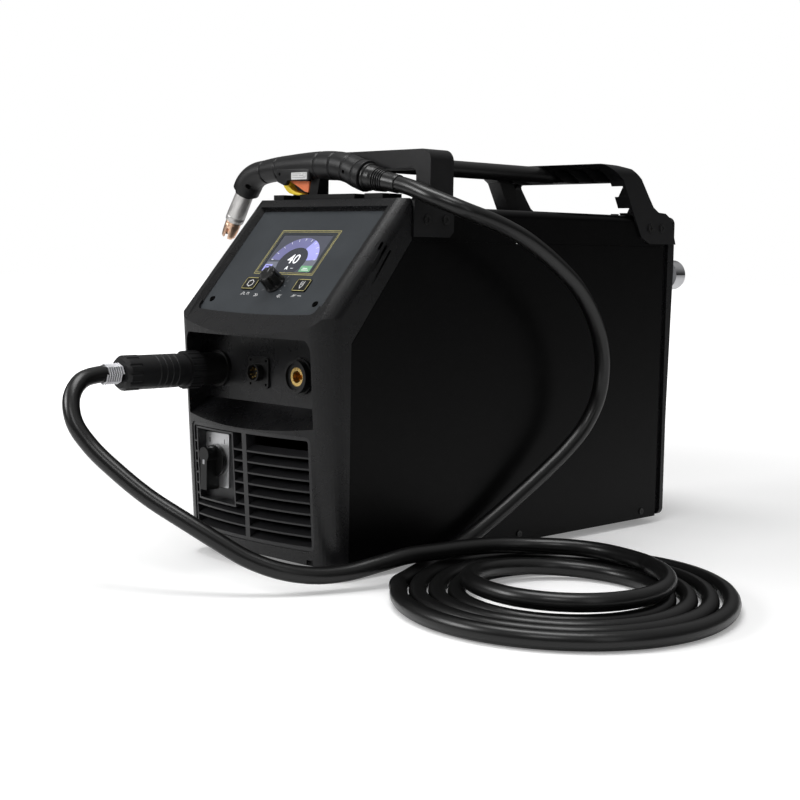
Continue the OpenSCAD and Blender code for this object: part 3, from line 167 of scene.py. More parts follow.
M = {
    "sheet": material("black_paint", (0.0010, 0.0010, 0.0011), 0.30, spec=0.10, grain=(420, 0.05),
                      rough_var=0.04, dust=0.02),
    "bezel": material("bezel_plastic", (0.0050, 0.0050, 0.0055), 0.28, spec=0.32, grain=(2300, 0.22),
                      rough_var=0.07, dust=0.03),
    "grille": material("grille_plastic", (0.011, 0.011, 0.012), 0.36, spec=0.45, grain=(2300, 0.15)),
    "handle": material("handle_plastic", (0.006, 0.006, 0.0065), 0.40, spec=0.3, grain=(1700, 0.25),
                       rough_var=0.08, dust=0.03),
    "torch": material("torch_plastic", (0.006, 0.006, 0.0065), 0.40, spec=0.30, grain=(2200, 0.18),
                      dust=0.02),
    "knob": material("knob_plastic", (0.003, 0.003, 0.003), 0.36, spec=0.32, grain=(2500, 0.15)),
    "plate": material("panel_film", (0.034, 0.038, 0.042), 0.36, spec=0.16, grain=(3200, 0.12),
                      rough_var=0.04),
    "window": material("window_dark", (0.006, 0.006, 0.02), 0.10, grain=(60, 0.01), coat=0.4),
    "board": material("circuit_board", (0.02, 0.12, 0.05), 0.4, grain=(900, 0.3), mottle=0.4),
    "rubber": material("foot_rubber", (0.015, 0.015, 0.015), 0.75, grain=(1200, 0.4), dust=0.08),
    "lead": material("lead_rubber", (0.004, 0.004, 0.004), 0.30, spec=0.45, grain=(900, 0.01),
                     rough_var=0.02, dust=0.01),
    "steel_black": material("black_steel", (0.012, 0.012, 0.012), 0.35, metal=0.3, grain=(900, 0.15)),
    "tray": material("tray_paint", (0.02, 0.02, 0.021), 0.4, grain=(800, 0.12), dust=0.03),
    "steel": material("brushed_steel", (0.55, 0.55, 0.57), 0.3, metal=1.0, grain=(900, 0.2),
                      brush=(1, 1, 12)),
    "chrome": material("chrome", (0.78, 0.78, 0.8), 0.12, metal=1.0, grain=(300, 0.03)),
    "brass": material("brass", (0.72, 0.50, 0.18), 0.26, metal=1.0, grain=(900, 0.12), mottle=0.15),
    "copper": material("copper", (0.78, 0.50, 0.36), 0.30, metal=0.9, grain=(700, 0.2), mottle=0.35),
    "alu": material("aluminium", (0.62, 0.63, 0.64), 0.38, metal=1.0, grain=(900, 0.2)),
    "silver": material("silver_plate", (0.62, 0.62, 0.63), 0.32, metal=0.85, grain=(1100, 0.2),
                       brush=(14, 1, 1)),
    "can": material("can_sleeve", (0.02, 0.03, 0.15), 0.3, grain=(500, 0.05)),
    "core": material("core_steel", (0.12, 0.10, 0.08), 0.5, metal=0.4, grain=(900, 0.4), mottle=0.3),
    "winding": material("enamelled_wire", (0.45, 0.18, 0.06), 0.35, metal=0.5, grain=(400, 0.5),
                        brush=(1, 1, 9), mottle=0.3),
    "orange": material("trigger_orange", (0.80, 0.20, 0.07), 0.38, grain=(1800, 0.2)),
    "yellow": material("safety_yellow", (0.85, 0.62, 0.03), 0.36, grain=(1800, 0.2)),
    "cup": material("cup_steel", (0.52, 0.51, 0.50), 0.34, metal=0.7, grain=(600, 0.4), mottle=0.3),
}

M.update({
    "rest": material("rest_plastic", (0.004, 0.004, 0.004), 0.40, spec=0.2, grain=(2300, 0.15)),
    # painted shade: a flat, almost glossless black that stands in for the shade inside holes and
    # recesses (front screws, screw wells on the film, the torch pin)
    "hole": material("painted_hole_shade", (0.0008, 0.0008, 0.0008), 0.8, spec=0.03, grain=(2000, 0.1)),
    "gloss": material("sleeve_rubber", (0.006, 0.006, 0.006), 0.30, spec=0.4, grain=(900, 0.1)),
    "label": material("label_film", (0.62, 0.62, 0.61), 0.4, grain=(900, 0.05), mottle=0.05),
    "gold": material("gold_print", (0.42, 0.37, 0.14), 0.4, grain=(2500, 0.1)),
    "print": material("white_print", (0.72, 0.72, 0.72), 0.45, grain=(2500, 0.1), mottle=0.04),
    "print_dim": material("grey_print", (0.25, 0.25, 0.26), 0.45, grain=(2500, 0.1)),
    "print_grey": material("mark_grey", (0.30, 0.30, 0.31), 0.45, grain=(2500, 0.1)),
    "print_dark": material("dark_print", (0.02, 0.02, 0.02), 0.45, grain=(2500, 0.1)),
    "red": material("red_print", (0.60, 0.03, 0.02), 0.45, grain=(2500, 0.1)),
    "screen": material("screen_back", (0.045, 0.048, 0.062), 0.12, grain=(50, 0.01), emit=0.6),
    "screen_mid": material("screen_mid", (0.10, 0.105, 0.13), 0.12, grain=(50, 0.01), emit=0.7),
    "screen_hub": material("screen_hub", (0.025, 0.027, 0.034), 0.12, grain=(50, 0.01), emit=0.6),
    "screen_arc": material("screen_arc", (0.10, 0.10, 0.20), 0.12, grain=(50, 0.01), emit=0.75),
    "screen_arc_hi": material("screen_pale", (0.23, 0.23, 0.50), 0.12, grain=(50, 0.01), emit=0.75),
    "screen_green": material("screen_green", (0.11, 0.25, 0.14), 0.12, grain=(50, 0.01), emit=0.7),
    "screen_white": material("screen_white", (0.75, 0.76, 0.78), 0.12, grain=(50, 0.01), emit=0.5),
})


def glass_material():
    m = material("gauge_glass", (0.9, 0.93, 0.95), 0.03, grain=(40, 0.02), rough_var=0.01)
    m.node_tree.nodes["Principled BSDF"].inputs["Transmission Weight"].default_value = 1.0
    return m


M["glass"] = glass_material()

USE = {
    "sheet": "left_side_panel right_side_panel top_cover",
    "tray": "base_tray",
    "bezel": "front_bezel rear_bezel",
    "rest": "torch_rest",
    "grille": "front_grille",
    "handle": "front_handle rear_handle",
    "steel_black": "handle_tube side_screws handle_screws fan_guard gauge_needle",
    # the front screws take the painted hole shade
    "hole": "front_screws",
    "torch": "torch_grip_left torch_grip_right torch_head lead_boot plug_body plug_ring plug_nut",
    "plate": "control_plate",
    "window": "display_window",
    "board": "control_board power_board",
    "knob": "encoder_knob left_button right_button torch_socket control_connector earth_socket"
            " switch_body switch_lever fan_frame fan_rotor regulator_knob mains_gland",
    "brass": "connector_pins earth_insert solenoid_valve air_inlet",
    "silver": "switch_plate",
    "rubber": "feet",
    "alu": "heat_sink regulator",
    "can": "capacitors",
    "core": "transformer",
    "winding": "choke",
    "chrome": "pressure_gauge",
    "glass": "gauge_lens",
    "cup": "retaining_cup",
    "copper": "nozzle",
    "orange": "torch_trigger",
    "yellow": "safety_lever",
    "lead": "lead_upper lead_coil lead_lower",
    "steel": "plug_spring",
}

BEVEL = {
    "front_bezel": 1.2, "front_grille": 0.35, "rear_bezel": 1.2, "front_handle": 2.4,
    "rear_handle": 2.4, "top_cover": 0.5, "left_side_panel": 0.35, "right_side_panel": 0.35,
    "base_tray": 0.4, "control_plate": 0.4, "left_button": 0.6,
    "right_button": 0.6, "torch_socket": 0.5, "control_connector": 0.5, "earth_socket": 0.6,
    "earth_insert": 0.3, "switch_plate": 0.4, "switch_lever": 1.4, "torch_rest": 1.0,
    "plug_ring": 0.4, "plug_nut": 0.5, "plug_body": 0.4,
    "regulator": 0.6, "regulator_knob": 0.6, "mains_gland": 0.5, "air_inlet": 0.3, "feet": 0.6,
    "side_screws": 0.25, "handle_screws": 0.3, "front_screws": 0.2, "fan_frame": 0.6,
}


def soften(obj, width):
    """Rounds the edges of a CAD node with modifiers, which leave its mesh alone."""
    mod = obj.modifiers.new("flats", "DECIMATE")
    mod.decimate_type = "DISSOLVE"
    mod.angle_limit = math.radians(0.6)
    mod = obj.modifiers.new("edges", "BEVEL")
    mod.width = width / 1000
    mod.segments = 3
    mod.limit_method = "ANGLE"
    mod.angle_limit = math.radians(38)
    mod.harden_normals = False
    mod.use_clamp_overlap = True
    mod = obj.modifiers.new("normals", "WEIGHTED_NORMAL")
    mod.keep_sharp = True


for key, names in USE.items():
    for name in names.split():
        mesh = NODES[name].data
        mesh.materials.clear()
        mesh.materials.append(M[key])
for name, width in BEVEL.items():
    soften(NODES[name], width)


# ---------------------------------------------------------------- helpers for new pieces
def add_object(name, mesh, mat, body, replaces=()):
    obj = bpy.data.objects.new(name, mesh)
    scene.collection.objects.link(obj)
    if hasattr(mesh, "materials") and mat is not None:
        mesh.materials.append(mat)
    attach(obj, body)
    if replaces:
        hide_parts(*replaces)
    return obj


def smooth_path(points, first=None, last=None, step=6.0):
    """Centripetal Catmull-Rom curve through points (mm), sampled about every step mm."""
    pts = [Vector(p) for p in points]
    a = pts[0] - (first or (pts[1] - pts[0])).normalized() * (pts[1] - pts[0]).length
    b = pts[-1] + (last or (pts[-1] - pts[-2])).normalized() * (pts[-1] - pts[-2]).length
    pts = [a] + pts + [b]
    out = []
    for i in range(1, len(pts) - 2):
        p = pts[i - 1:i + 3]
        t = [0.0]
        for k in range(3):
            t.append(t[-1] + math.sqrt((p[k + 1] - p[k]).length))
        n = max(1, round((p[2] - p[1]).length / step))
        for k in range(n):
            u = t[1] + (t[2] - t[1]) * k / n
            l = [p[j] * ((t[j + 1] - u) / (t[j + 1] - t[j]))
                 + p[j + 1] * ((u - t[j]) / (t[j + 1] - t[j])) for j in range(3)]
            m = [l[j] * ((t[j + 2] - u) / (t[j + 2] - t[j]))
                 + l[j + 1] * ((u - t[j]) / (t[j + 2] - t[j])) for j in range(2)]
            out.append(m[0] * ((t[2] - u) / (t[2] - t[1])) + m[1] * ((u - t[1]) / (t[2] - t[1])))
    out.append(pts[-2])
    return out


# ---------------------------------------------------------------- torch lead
LEAD_R = 9.0


def coil_at(u):
    """Point of the coil, u turns from its torch side: in on the floor, up a layer, out again."""
    ease = lambda v: (lambda c: c * c * (3 - 2 * c))(max(0.0, min(1.0, v)))
    a = math.radians(224 + 360 * u)
    r = 184 - 22 * min(u, 3.62) + 12 * max(0.0, u - 4.12)
    r *= 1 + 0.08 * math.cos(2 * (a - math.radians(125)))
    return Vector((326 + 1.5 * u + r * math.cos(a), -150 - 3 * u + r * math.sin(a),
                   LEAD_R + 18.7 * ease(2 * (u - 3.62))))


UPPER = [(118, -173, 411.5), (152, -171, 400), (178, -154, 388), (190, -118, 376),
         (194, -80, 362), (193, -46, 347), (190, -10, 329), (186, 26, 308), (181, 58, 281),
         (176, 83, 249), (171, 97, 213), (166, 97, 177), (160, 82, 144), (155, 54, 117),
         (150, 22, 94), (145, -14, 71), (141, -54, 48), (139, -94, 29), (142, -134, 17),
         (150, -168, 10), (162, -197, 9), (175, -224, 9)]
LOWER = [(287, -38, 28), (248, -46, 28), (215, -68, 28), (190, -102, 29), (176, -140, 29),
         (170, -180, 29), (166, -218, 29), (159, -252, 24), (148, -288, 18), (136, -322, 18),
         (119, -354, 25), (98, -378, 37), (76, -398, 54), (50, -418, 73), (18, -438, 94),
         (-12, -454, 117), (-40, -468, 142), (-58, -476, 166), (-71, -471, 190), (-79, -454, 206)]
BOOT_DIR = Vector((math.cos(math.radians(10.8)), 0, -math.sin(math.radians(10.8))))
BOOT_AT = Vector((50.2, -171, 424.7))
BOOT_END = BOOT_AT + 48 * BOOT_DIR
PLUG_END = Vector((-82, -405, 211))


def add_lead():
    coil = [coil_at(i / 24) for i in range(111)]
    t0 = (coil[1] - coil[0]).normalized()
    t1 = (coil[-1] - coil[-2]).normalized()
    points = ([BOOT_END] + [Vector(p) for p in UPPER] + [coil[0] - 18 * t0] + coil
              + [coil[-1] + 18 * t1] + [Vector(p) for p in LOWER]
              + [PLUG_END - Vector((0, 25, 0)), PLUG_END])
    line = [P(*p) for p in smooth_path(points, BOOT_DIR, Vector((0, 1, 0)))]
    curve = bpy.data.curves.new("torch_lead", "CURVE")
    curve.dimensions = "3D"
    curve.bevel_depth = LEAD_R / 1000
    curve.bevel_resolution = 6
    curve.use_fill_caps = True
    spline = curve.splines.new("POLY")
    spline.points.add(len(line) - 1)
    for point, p in zip(spline.points, line):
        point.co = (*p, 1)
    spline.use_smooth = True
    obj = add_object("torch_lead", curve, M["lead"], "case",
                     ("lead_upper", "lead_coil", "lead_lower"))


add_lead()


# ---------------------------------------------------------------- mesh builders
def mesh_from(name, verts, faces, smooth=True):
    mesh = bpy.data.meshes.new(name)
    mesh.from_pydata([tuple(v) for v in verts], [], faces)
    bm = bmesh.new()
    bm.from_mesh(mesh)
    bmesh.ops.remove_doubles(bm, verts=bm.verts, dist=1e-7)
    bmesh.ops.recalc_face_normals(bm, faces=bm.faces)
    bm.to_mesh(mesh)
    bm.free()
    if smooth:
        mesh.shade_smooth()
        mesh.set_sharp_from_angle(angle=math.radians(35))
    return mesh


def frame_of(axis, ref):
    t = Vector(axis).normalized()
    a = Vector(ref).cross(t).normalized()
    return t, a, t.cross(a)


def lathe(name, profile, at, axis, ref=(0, 0, 1), sides=64, dip=None):
    """Turned piece: profile is [(radius, height)] in mm from the point at, along axis (mm)."""
    t, a, b = frame_of(axis, ref)
    verts, faces = [], []
    n = len(profile)
    for k in range(sides):
        ang = 2 * math.pi * k / sides
        for i, (r, h) in enumerate(profile):
            if dip:
                r = dip(r, h, ang)
            p = Vector(at) + t * h + (a * math.cos(ang) + b * math.sin(ang)) * r
            verts.append(P(*p))
    for k in range(sides):
        for i in range(n - 1):
            q = (k * n + i, k * n + i + 1, (k + 1) % sides * n + i + 1, (k + 1) % sides * n + i)
            faces.append(q)
    for i in (0, n - 1):
        if profile[i][0] > 1e-6:
            faces.append(tuple(k * n + i for k in range(sides)))
    return mesh_from(name, verts, faces)


def slab(name, outline, place, h0, h1):
    """Flat piece: outline [(u, v)] raised from h0 to h1; place(u, v, h) gives a point in m."""
    n = len(outline)
    verts = [place(u, v, h0) for u, v in outline] + [place(u, v, h1) for u, v in outline]
    faces = [tuple(range(n)), tuple(range(n, 2 * n))]
    faces += [(i, (i + 1) % n, (i + 1) % n + n, i + n) for i in range(n)]
    return mesh_from(name, verts, faces, smooth=False)


def join(name, meshes):
    bm = bmesh.new()
    for mesh in meshes:
        bm.from_mesh(mesh)
        bpy.data.meshes.remove(mesh)
    out = bpy.data.meshes.new(name)
    bm.to_mesh(out)
    bm.free()
    return out


def line_strip(points, width, closed=False):
    """Outlines of thin quads, width mm wide, along a line of (u, v) points."""
    pts = list(points) + ([points[0]] if closed else [])
    out = []
    for (x0, y0), (x1, y1) in zip(pts, pts[1:]):
        d = Vector((x1 - x0, y1 - y0))
        if d.length < 1e-6:
            continue
        d = d.normalized() * width / 2
        n = Vector((-d.y, d.x))
        out.append([(x0 - d.x + n.x, y0 - d.y + n.y), (x0 - d.x - n.x, y0 - d.y - n.y),
                    (x1 + d.x - n.x, y1 + d.y - n.y), (x1 + d.x + n.x, y1 + d.y + n.y)])
    return out


def arc_pts(cx, cy, r, a0, a1, n=24):
    return [(cx + r * math.cos(math.radians(a0 + (a1 - a0) * i / n)),
             cy + r * math.sin(math.radians(a0 + (a1 - a0) * i / n))) for i in range(n + 1)]


def rounded_rect(cx, cy, w, h, r, n=6):
    pts = []
    for sx, sy, a in ((1, -1, -90), (1, 1, 0), (-1, 1, 90), (-1, -1, 180)):
        pts += arc_pts(cx + sx * (w / 2 - r), cy + sy * (h / 2 - r), r, a, a + 90, n)
    return pts


def prints(name, outlines, place, h, mat, body, thick=0.05):
    """Printed graphics: thin slabs, all in one piece."""
    add_object(name, join(name, [slab(name, o, place, h, h + thick) for o in outlines]), mat, body)


# ---------------------------------------------------------------- torch
TORCH_Y, TOP = -171.0, 454.0
GRIP = [(-161.5, -41.5, 16), (-156.5, -34.5, 16.3), (-149.5, -27.8, 15.6), (-139, -22.6, 14.6),
        (-123, -19.6, 13.7), (-99, -17, 14), (-78, -16, 14.5), (-55, -15.4, 15.3),
        (-30, -15.2, 16), (-10, -15.6, 16.2), (8, -17, 16), (24, -21, 16.2), (37, -26, 16.7),
        (49, -29, 17.4)]
MOUTH = Vector((-161.5, TORCH_Y, TOP - 41.5))
TILT = math.radians(32.3)
CUP_AXIS = Vector((-math.sin(TILT), 0, -math.cos(TILT)))


TORCH_HOLES = ((-143.5, 417.3, 3.0, 6.0), (26, 430, 2.2, 11.5))


def add_torch_body():
    path = smooth_path([(x, r, z) for x, z, r in GRIP], step=0.7)
    centres = [Vector((p.x, TORCH_Y, TOP + p.z)) for p in path]
    radii = [p.y for p in path]
    grooves = [-121.5, -95, -24.5, 0, 20.5, 38]
    sides = 96
    rings = []
    last = len(centres) - 1
    for i, (c, r) in enumerate(zip(centres, radii)):
        t = (centres[min(i + 1, last)] - centres[max(i - 1, 0)]).normalized()
        for g in grooves:
            r -= 1.1 * math.exp(-((c.x - g) / 1.1) ** 2)
        rings.append((c, t, r))
    # rounded lips at both ends
    (c0, t0, r0), (c1, t1, r1) = rings[0], rings[-1]
    rings = ([(c0 + t0 * 0.4, t0, r0 - 3.6), (c0 - t0 * 0.05, t0, r0 - 3.2), (c0, t0, r0 - 0.9),
              (c0 + t0 * 0.25, t0, r0 - 0.25)] + rings[1:-1]
             + [(c1 - t1 * 0.3, t1, r1 - 0.3), (c1, t1, r1 - 1.0), (c1, t1, r1 - 3.4)])
    verts, faces = [], []
    for c, t, r in rings:
        a = Vector((0, 1, 0))
        b = t.cross(a)
        for k in range(sides):
            ang = 2 * math.pi * k / sides
            # parting line on top and below
            rr = r - (0.3 if k in (sides // 4, 3 * sides // 4) else 0)
            verts.append(P(*(c + (a * math.cos(ang) + b * math.sin(ang)) * rr)))
    for i in range(len(rings) - 1):
        for k in range(sides):
            j = (k + 1) % sides
            faces.append((i * sides + k, (i + 1) * sides + k, (i + 1) * sides + j, i * sides + j))
    faces.append(tuple(range(sides)))
    faces.append(tuple((len(rings) - 1) * sides + k for k in range(sides)))
    mesh = mesh_from("torch_body", verts, faces)
    obj = add_object("torch_body", mesh, M["torch"], "case",
                     ("torch_grip_left", "torch_grip_right"))
    # slot for trigger and safety lever, screw holes of the two shells
    cutters = []
    lo, hi = P(-90, TORCH_Y - 8, 394), P(-36, TORCH_Y + 8, TOP - 20)
    cube = bpy.data.meshes.new("cut")
    xs, ys, zs = zip(lo, hi)
    cube.from_pydata([(x, y, z) for x in xs for y in ys for z in zs], [],
                     [(0, 1, 3, 2), (4, 6, 7, 5), (0, 4, 5, 1), (2, 3, 7, 6), (0, 2, 6, 4),
                      (1, 5, 7, 3)])
    cutters.append(cube)
    for x, z, r, y in TORCH_HOLES:
        for side in (-1, 1):
            cutters.append(lathe("cut", [(r, 0), (r, 14.0)], (x, TORCH_Y + side * y, z),
                                 (0, side, 0), sides=24))
    for mesh_c in cutters:
        tool = bpy.data.objects.new("cut", mesh_c)
        scene.collection.objects.link(tool)
        mod = obj.modifiers.new("cut", "BOOLEAN")
        mod.operation = "DIFFERENCE"
        mod.solver = "EXACT"
        mod.object = tool
        deps = bpy.context.evaluated_depsgraph_get()
        done = bpy.data.meshes.new_from_object(obj.evaluated_get(deps))
        obj.modifiers.remove(mod)
        obj.data = done
        bpy.data.objects.remove(tool)
    obj.data.set_sharp_from_angle(angle=math.radians(35))
    # screws in those holes
    screws = []
    for x, z, r, y in TORCH_HOLES:
        for side in (-1, 1):
            screws.append(lathe("s", [(0, 0.6), (0.35 * r, 0.6), (0.4 * r, 1.3), (0.85 * r, 1.3),
                                      (r - 0.1, 1.0), (r - 0.1, 0)],
                                (x, TORCH_Y + side * (y - 0.1), z), (0, side, 0), sides=24))
    add_object("torch_screws", join("torch_screws", screws), M["steel_black"], "case")


add_torch_body()


def add_torch_label():
    """Label with unlettered grey marks on the side of the trigger housing, and a disc of painted shade
    at its pin.
    """
    face = lambda u, v, h: P(u, HOUSING_Y - h, v)
    label = rounded_rect(-47.8, 427.2, 27, 8, 0.8)
    prints("torch_label", [label], face, 0.02, M["label"], "case", 0.12)
    marks = []
    for z, x0, x1 in ((429.6, -59, -45), (427.6, -59, -50), (427.6, -48, -41), (425.4, -59, -38)):
        marks += line_strip([(x0, z), (x1, z)], 0.55)
    marks += line_strip(rounded_rect(-38.4, 428.4, 5, 3.4, 0.4), 0.4, closed=True)
    prints("torch_label_marks", marks, face, 0.15, M["print_grey"], "case", 0.03)
    # painted shade: the pin is a flat black disc in the hole material
    pin = arc_pts(-82, 430, 1.75, 0, 360, 20)[:-1]
    prints("torch_pin_shade", [pin], face, 0.01, M["hole"], "case", 0.05)


def prism_y(name, outline, y0, y1, bevel=0.6, segments=4):
    """Prism across the torch from y0 to y1 of an outline in x and z (mm), edges rounded."""
    mesh = slab(name, outline, lambda u, v, h: P(u, h, v), y0, y1)
    bm = bmesh.new()
    bm.from_mesh(mesh)
    edges = [e for e in bm.edges if e.calc_face_angle(0) > math.radians(50)]
    bmesh.ops.bevel(bm, geom=edges, offset=bevel / 1000, segments=segments, profile=0.5,
                    affect="EDGES", clamp_overlap=True)
    bm.to_mesh(mesh)
    bm.free()
    mesh.shade_smooth()
    mesh.set_sharp_from_angle(angle=math.radians(32))
    return mesh


HOUSING_Y = TORCH_Y - 15.3


def add_housing():
    """Flat cheeks of the trigger housing on both sides of the slot."""
    outline = [(-88, 436), (-88.4, 424), (-86.4, 421), (-75.4, 417), (-71.6, 417.4), (-69, 422.4),
               (-33.6, 421), (-31, 423), (-30.4, 436)]
    cheeks = [prism_y("h", outline, *pair, 1.8, 4) for pair in
              ((HOUSING_Y, TORCH_Y - 8.6), (TORCH_Y + 8.6, 2 * TORCH_Y - HOUSING_Y))]
    add_object("trigger_housing", join("trigger_housing", cheeks), M["torch"], "case")


def add_trigger():
    curve = [(28.3, -22.5), (26, -22.3), (22, -21.2), (17.5, -19), (13, -16.5), (7, -13.7),
             (1.5, -11.5), (-3, -9.5)]
    outline = [(-3, 0), (29.8, -3.5), (29.8, -14)] + curve
    add_object("trigger", prism_y("trigger", [(-70 + u, 431 + v) for u, v in outline],
                                  TORCH_Y - 7, TORCH_Y + 7, 1.0), M["orange"], "torch_trigger",
               ("torch_trigger",))
    outline = [(-2.6, 0), (-5, -11.4), (-4.4, -13.8), (0.5, -18.6), (4.8, -21.2), (12, -23),
               (20.5, -24), (27, -23.6), (26.8, -22.2), (18, -20.4), (10, -17.4), (4.4, -13.2),
               (3.0, -9), (2.6, 0)]
    add_object("safety", prism_y("safety", [(-82 + u, 430 + v) for u, v in outline],
                                 TORCH_Y - 5, TORCH_Y + 5, 0.6), M["yellow"], "safety_lever",
               ("safety_lever",))


add_housing()
add_torch_label()
add_trigger()


CUP_END = 41.0


def add_cup():
    profile = [(5.8, 0), (10.6, 0), (11.0, 0.3), (11.2, 2.4), (11.4, 2.8), (11.4, 6.4), (11.2, 6.8),
               (11.2, 7.5), (11.4, 7.9), (11.1, 20), (10.8, 34.6), (10.6, 36.6), (10, 37), (6.6, 37)]
    add_object("cup", lathe("cup", profile, MOUTH + CUP_AXIS * CUP_END, -CUP_AXIS, ref=(0, 1, 0)),
               M["cup"], "case", ("retaining_cup",))


def add_nozzle():
    """Shield with crown prongs round the nozzle; heights from the cup's end, away from it."""
    at = MOUTH + CUP_AXIS * CUP_END
    ring = [(4.6, -4.5), (8.6, -4.8), (8.8, -0.3), (9.3, 0.1), (9.5, 0.5), (9.5, 3.0), (9.2, 3.4),
            (9.2, 4.2), (9.4, 4.6), (9.2, 9.0), (7.2, 9.4), (7.0, 5), (4.6, 4)]
    parts = [lathe("n", ring, at, CUP_AXIS, ref=(0, 1, 0), sides=48)]
    tip = [(0, -4), (4.6, -4), (4.6, 9), (4.2, 14), (2.8, 17.5), (1.5, 18), (0.7, 17.6), (0, 14)]
    parts.append(lathe("n", tip, at, CUP_AXIS, ref=(0, 1, 0), sides=32))
    t, a, b = frame_of(CUP_AXIS, (0, 1, 0))
    for k in range(4):
        base = math.radians(20 + 90 * k)
        verts, faces = [], []
        rows = [(8.0, 9.25, 7.0, 31), (13, 9.0, 6.8, 29), (18, 8.6, 6.3, 27), (21.5, 8.0, 5.9, 25),
                (22.6, 7.2, 6.1, 22)]
        cols = 7
        for h, ro, ri, half in rows:
            for rr in (ro, ri):
                for j in range(cols):
                    ang = base + math.radians(half * (2 * j / (cols - 1) - 1))
                    verts.append(P(*(at + t * h + (a * math.cos(ang) + b * math.sin(ang)) * rr)))
        m = 2 * cols
        for i in range(len(rows) - 1):
            loop = list(range(cols)) + list(range(m - 1, cols - 1, -1))
            for j in range(m):
                p, q = loop[j], loop[(j + 1) % m]
                faces.append((i * m + p, i * m + q, (i + 1) * m + q, (i + 1) * m + p))
        for i in (0, len(rows) - 1):
            faces += [(i * m + j, i * m + j + 1, i * m + cols + j + 1, i * m + cols + j)
                      for j in range(cols - 1)]
        parts.append(mesh_from("n", verts, faces))
    add_object("shield", join("shield", parts), M["copper"], "case", ("nozzle",))


add_cup()
add_nozzle()


def add_boot():
    """Collar, glossy sleeve, ribs and tapered end where the lead leaves the grip."""
    r = LEAD_R
    profile = [(0, 0.2), (14.6, 0.2), (15.2, 0.5), (15.4, 1.2), (15.4, 2.8), (15.1, 3.4),
               (13.8, 4.2), (13.5, 5), (13.3, 10), (12.8, 11.6), (11.9, 13.2), (11.6, 14)]
    for i in range(5):
        top = r + 4.2 - 0.35 * i
        low = r + 2.4 - 0.2 * i
        h = 14.4 + 3.1 * i
        profile += [(low, h), (top - 0.2, h + 0.35), (top, h + 0.8), (top, h + 1.4),
                    (top - 0.2, h + 1.85), (low, h + 2.2), (low - 0.1, h + 2.95)]
    profile += [(r + 1.5, 30.6), (r + 1.2, 34), (r + 1, 43.6), (r + 1, 47.2), (r + 0.7, 47.9),
                (r - 0.3, 48)]
    add_object("boot", lathe("boot", profile, BOOT_AT, BOOT_DIR, ref=(0, 1, 0), sides=72),
               M["gloss"], "case", ("lead_boot",))


add_boot()

# ---------------------------------------------------------------- control panel
PRINT_H = PLATE_H + 0.02
SCREEN_H = PLATE_H - 0.26
CAP_H = PLATE_H + 1.22


def add_display():
    add = lambda name, shapes, mat, lift=0.0: prints(name, shapes, ramp, SCREEN_H + lift, mat,
                                                     "case", 0.02)
    # gold double frame printed on the film round the window
    gold = []
    for dx, w in ((0, 0.75), (2.1, 0.45)):
        gold += line_strip([(-45 + dx, 55.5 + dx), (51.5 - dx, 55.5 + dx), (51.5 - dx, 119 - dx),
                            (-45 + dx, 119 - dx)], w, closed=True)
    prints("gold_frame", gold, ramp, PRINT_H, M["gold"], "case", 0.03)
    screen = [(-37.6, 58.9), (43.6, 58.9), (43.6, 112.1), (-37.6, 112.1)]
    add("screen", [screen], M["screen"])
    cx, cy = 4, 74.2
    arc = lambda r0, r1, a0, a1: arc_pts(cx, cy, r1, a0, a1) + arc_pts(cx, cy, r0, a1, a0)
    stretch = lambda shape: [(cx + (u - cx) * 1.06, cy + (v - cy) * 0.98) for u, v in shape]
    add("screen_wedge", [stretch(arc(0.1, 37, 182, 205)), stretch(arc(0.1, 37, -25, 8))],
        M["screen_mid"], 0.015)
    add("screen_arc", [stretch(arc(17, 35, 66, 176))], M["screen_arc"], 0.03)
    add("screen_arc_hi", [stretch(arc(17, 35, 5, 65))], M["screen_arc_hi"], 0.03)
    add("screen_hub", [stretch(arc_pts(cx, cy, 20.5, 0, 360, 48)[:-1])], M["screen_hub"], 0.045)
    ticks = []
    for i in range(11):
        a = math.radians(5 + 17.1 * i)
        c, s = math.cos(a), math.sin(a)
        ticks += line_strip([(cx + 1.06 * 31 * c, cy + 0.98 * 31 * s),
                             (cx + 1.06 * 34 * c, cy + 0.98 * 34 * s)], 0.45)
    add("screen_ticks", ticks, M["screen_white"], 0.06)
    add("screen_green", [[(25, 60), (42.5, 60), (42.5, 68.5), (25, 68.5)]], M["screen_green"], 0.03)
    add("screen_box", [[(-36, 60), (-24, 60), (-24, 69.5), (-36, 69.5)]], M["screen_arc_hi"], 0.03)
    add("screen_marks", line_strip([(-33, 62.5), (-33, 67.1), (-27, 67.1), (-27, 62.5)], 0.9)
        + line_strip([(-30, 62.1), (-30, 64.9)], 0.9), M["screen_hub"], 0.05)
    add("screen_lines", line_strip([(29, 62.5), (39, 62.5)], 0.7) + line_strip([(29, 64.9), (36, 64.9)],
        0.7) + line_strip([(9, 64.5), (13, 64.5)], 0.5), M["screen_white"], 0.05)


def add_text(name, text, at, size, mat, body, place, h, bold=0.0):
    """Plain numerals on a surface given by place(u, v, h); at is the middle of the text."""
    data = bpy.data.curves.new(name, "FONT")
    data.body = text
    data.align_x, data.align_y = "CENTER", "CENTER"
    data.size = size
    data.offset = bold
    data.extrude = 0.01
    data.resolution_u = 4
    tmp = bpy.data.objects.new(name, data)
    scene.collection.objects.link(tmp)
    bpy.context.view_layer.update()
    deps = bpy.context.evaluated_depsgraph_get()
    mesh = bpy.data.meshes.new_from_object(tmp.evaluated_get(deps))
    bpy.data.objects.remove(tmp)
    for v in mesh.vertices:
        v.co = place(at[0] + v.co.x, at[1] + v.co.y, h + v.co.z)
    mesh.name = name
    mesh.materials.clear()
    return add_object(name, mesh, mat, body)


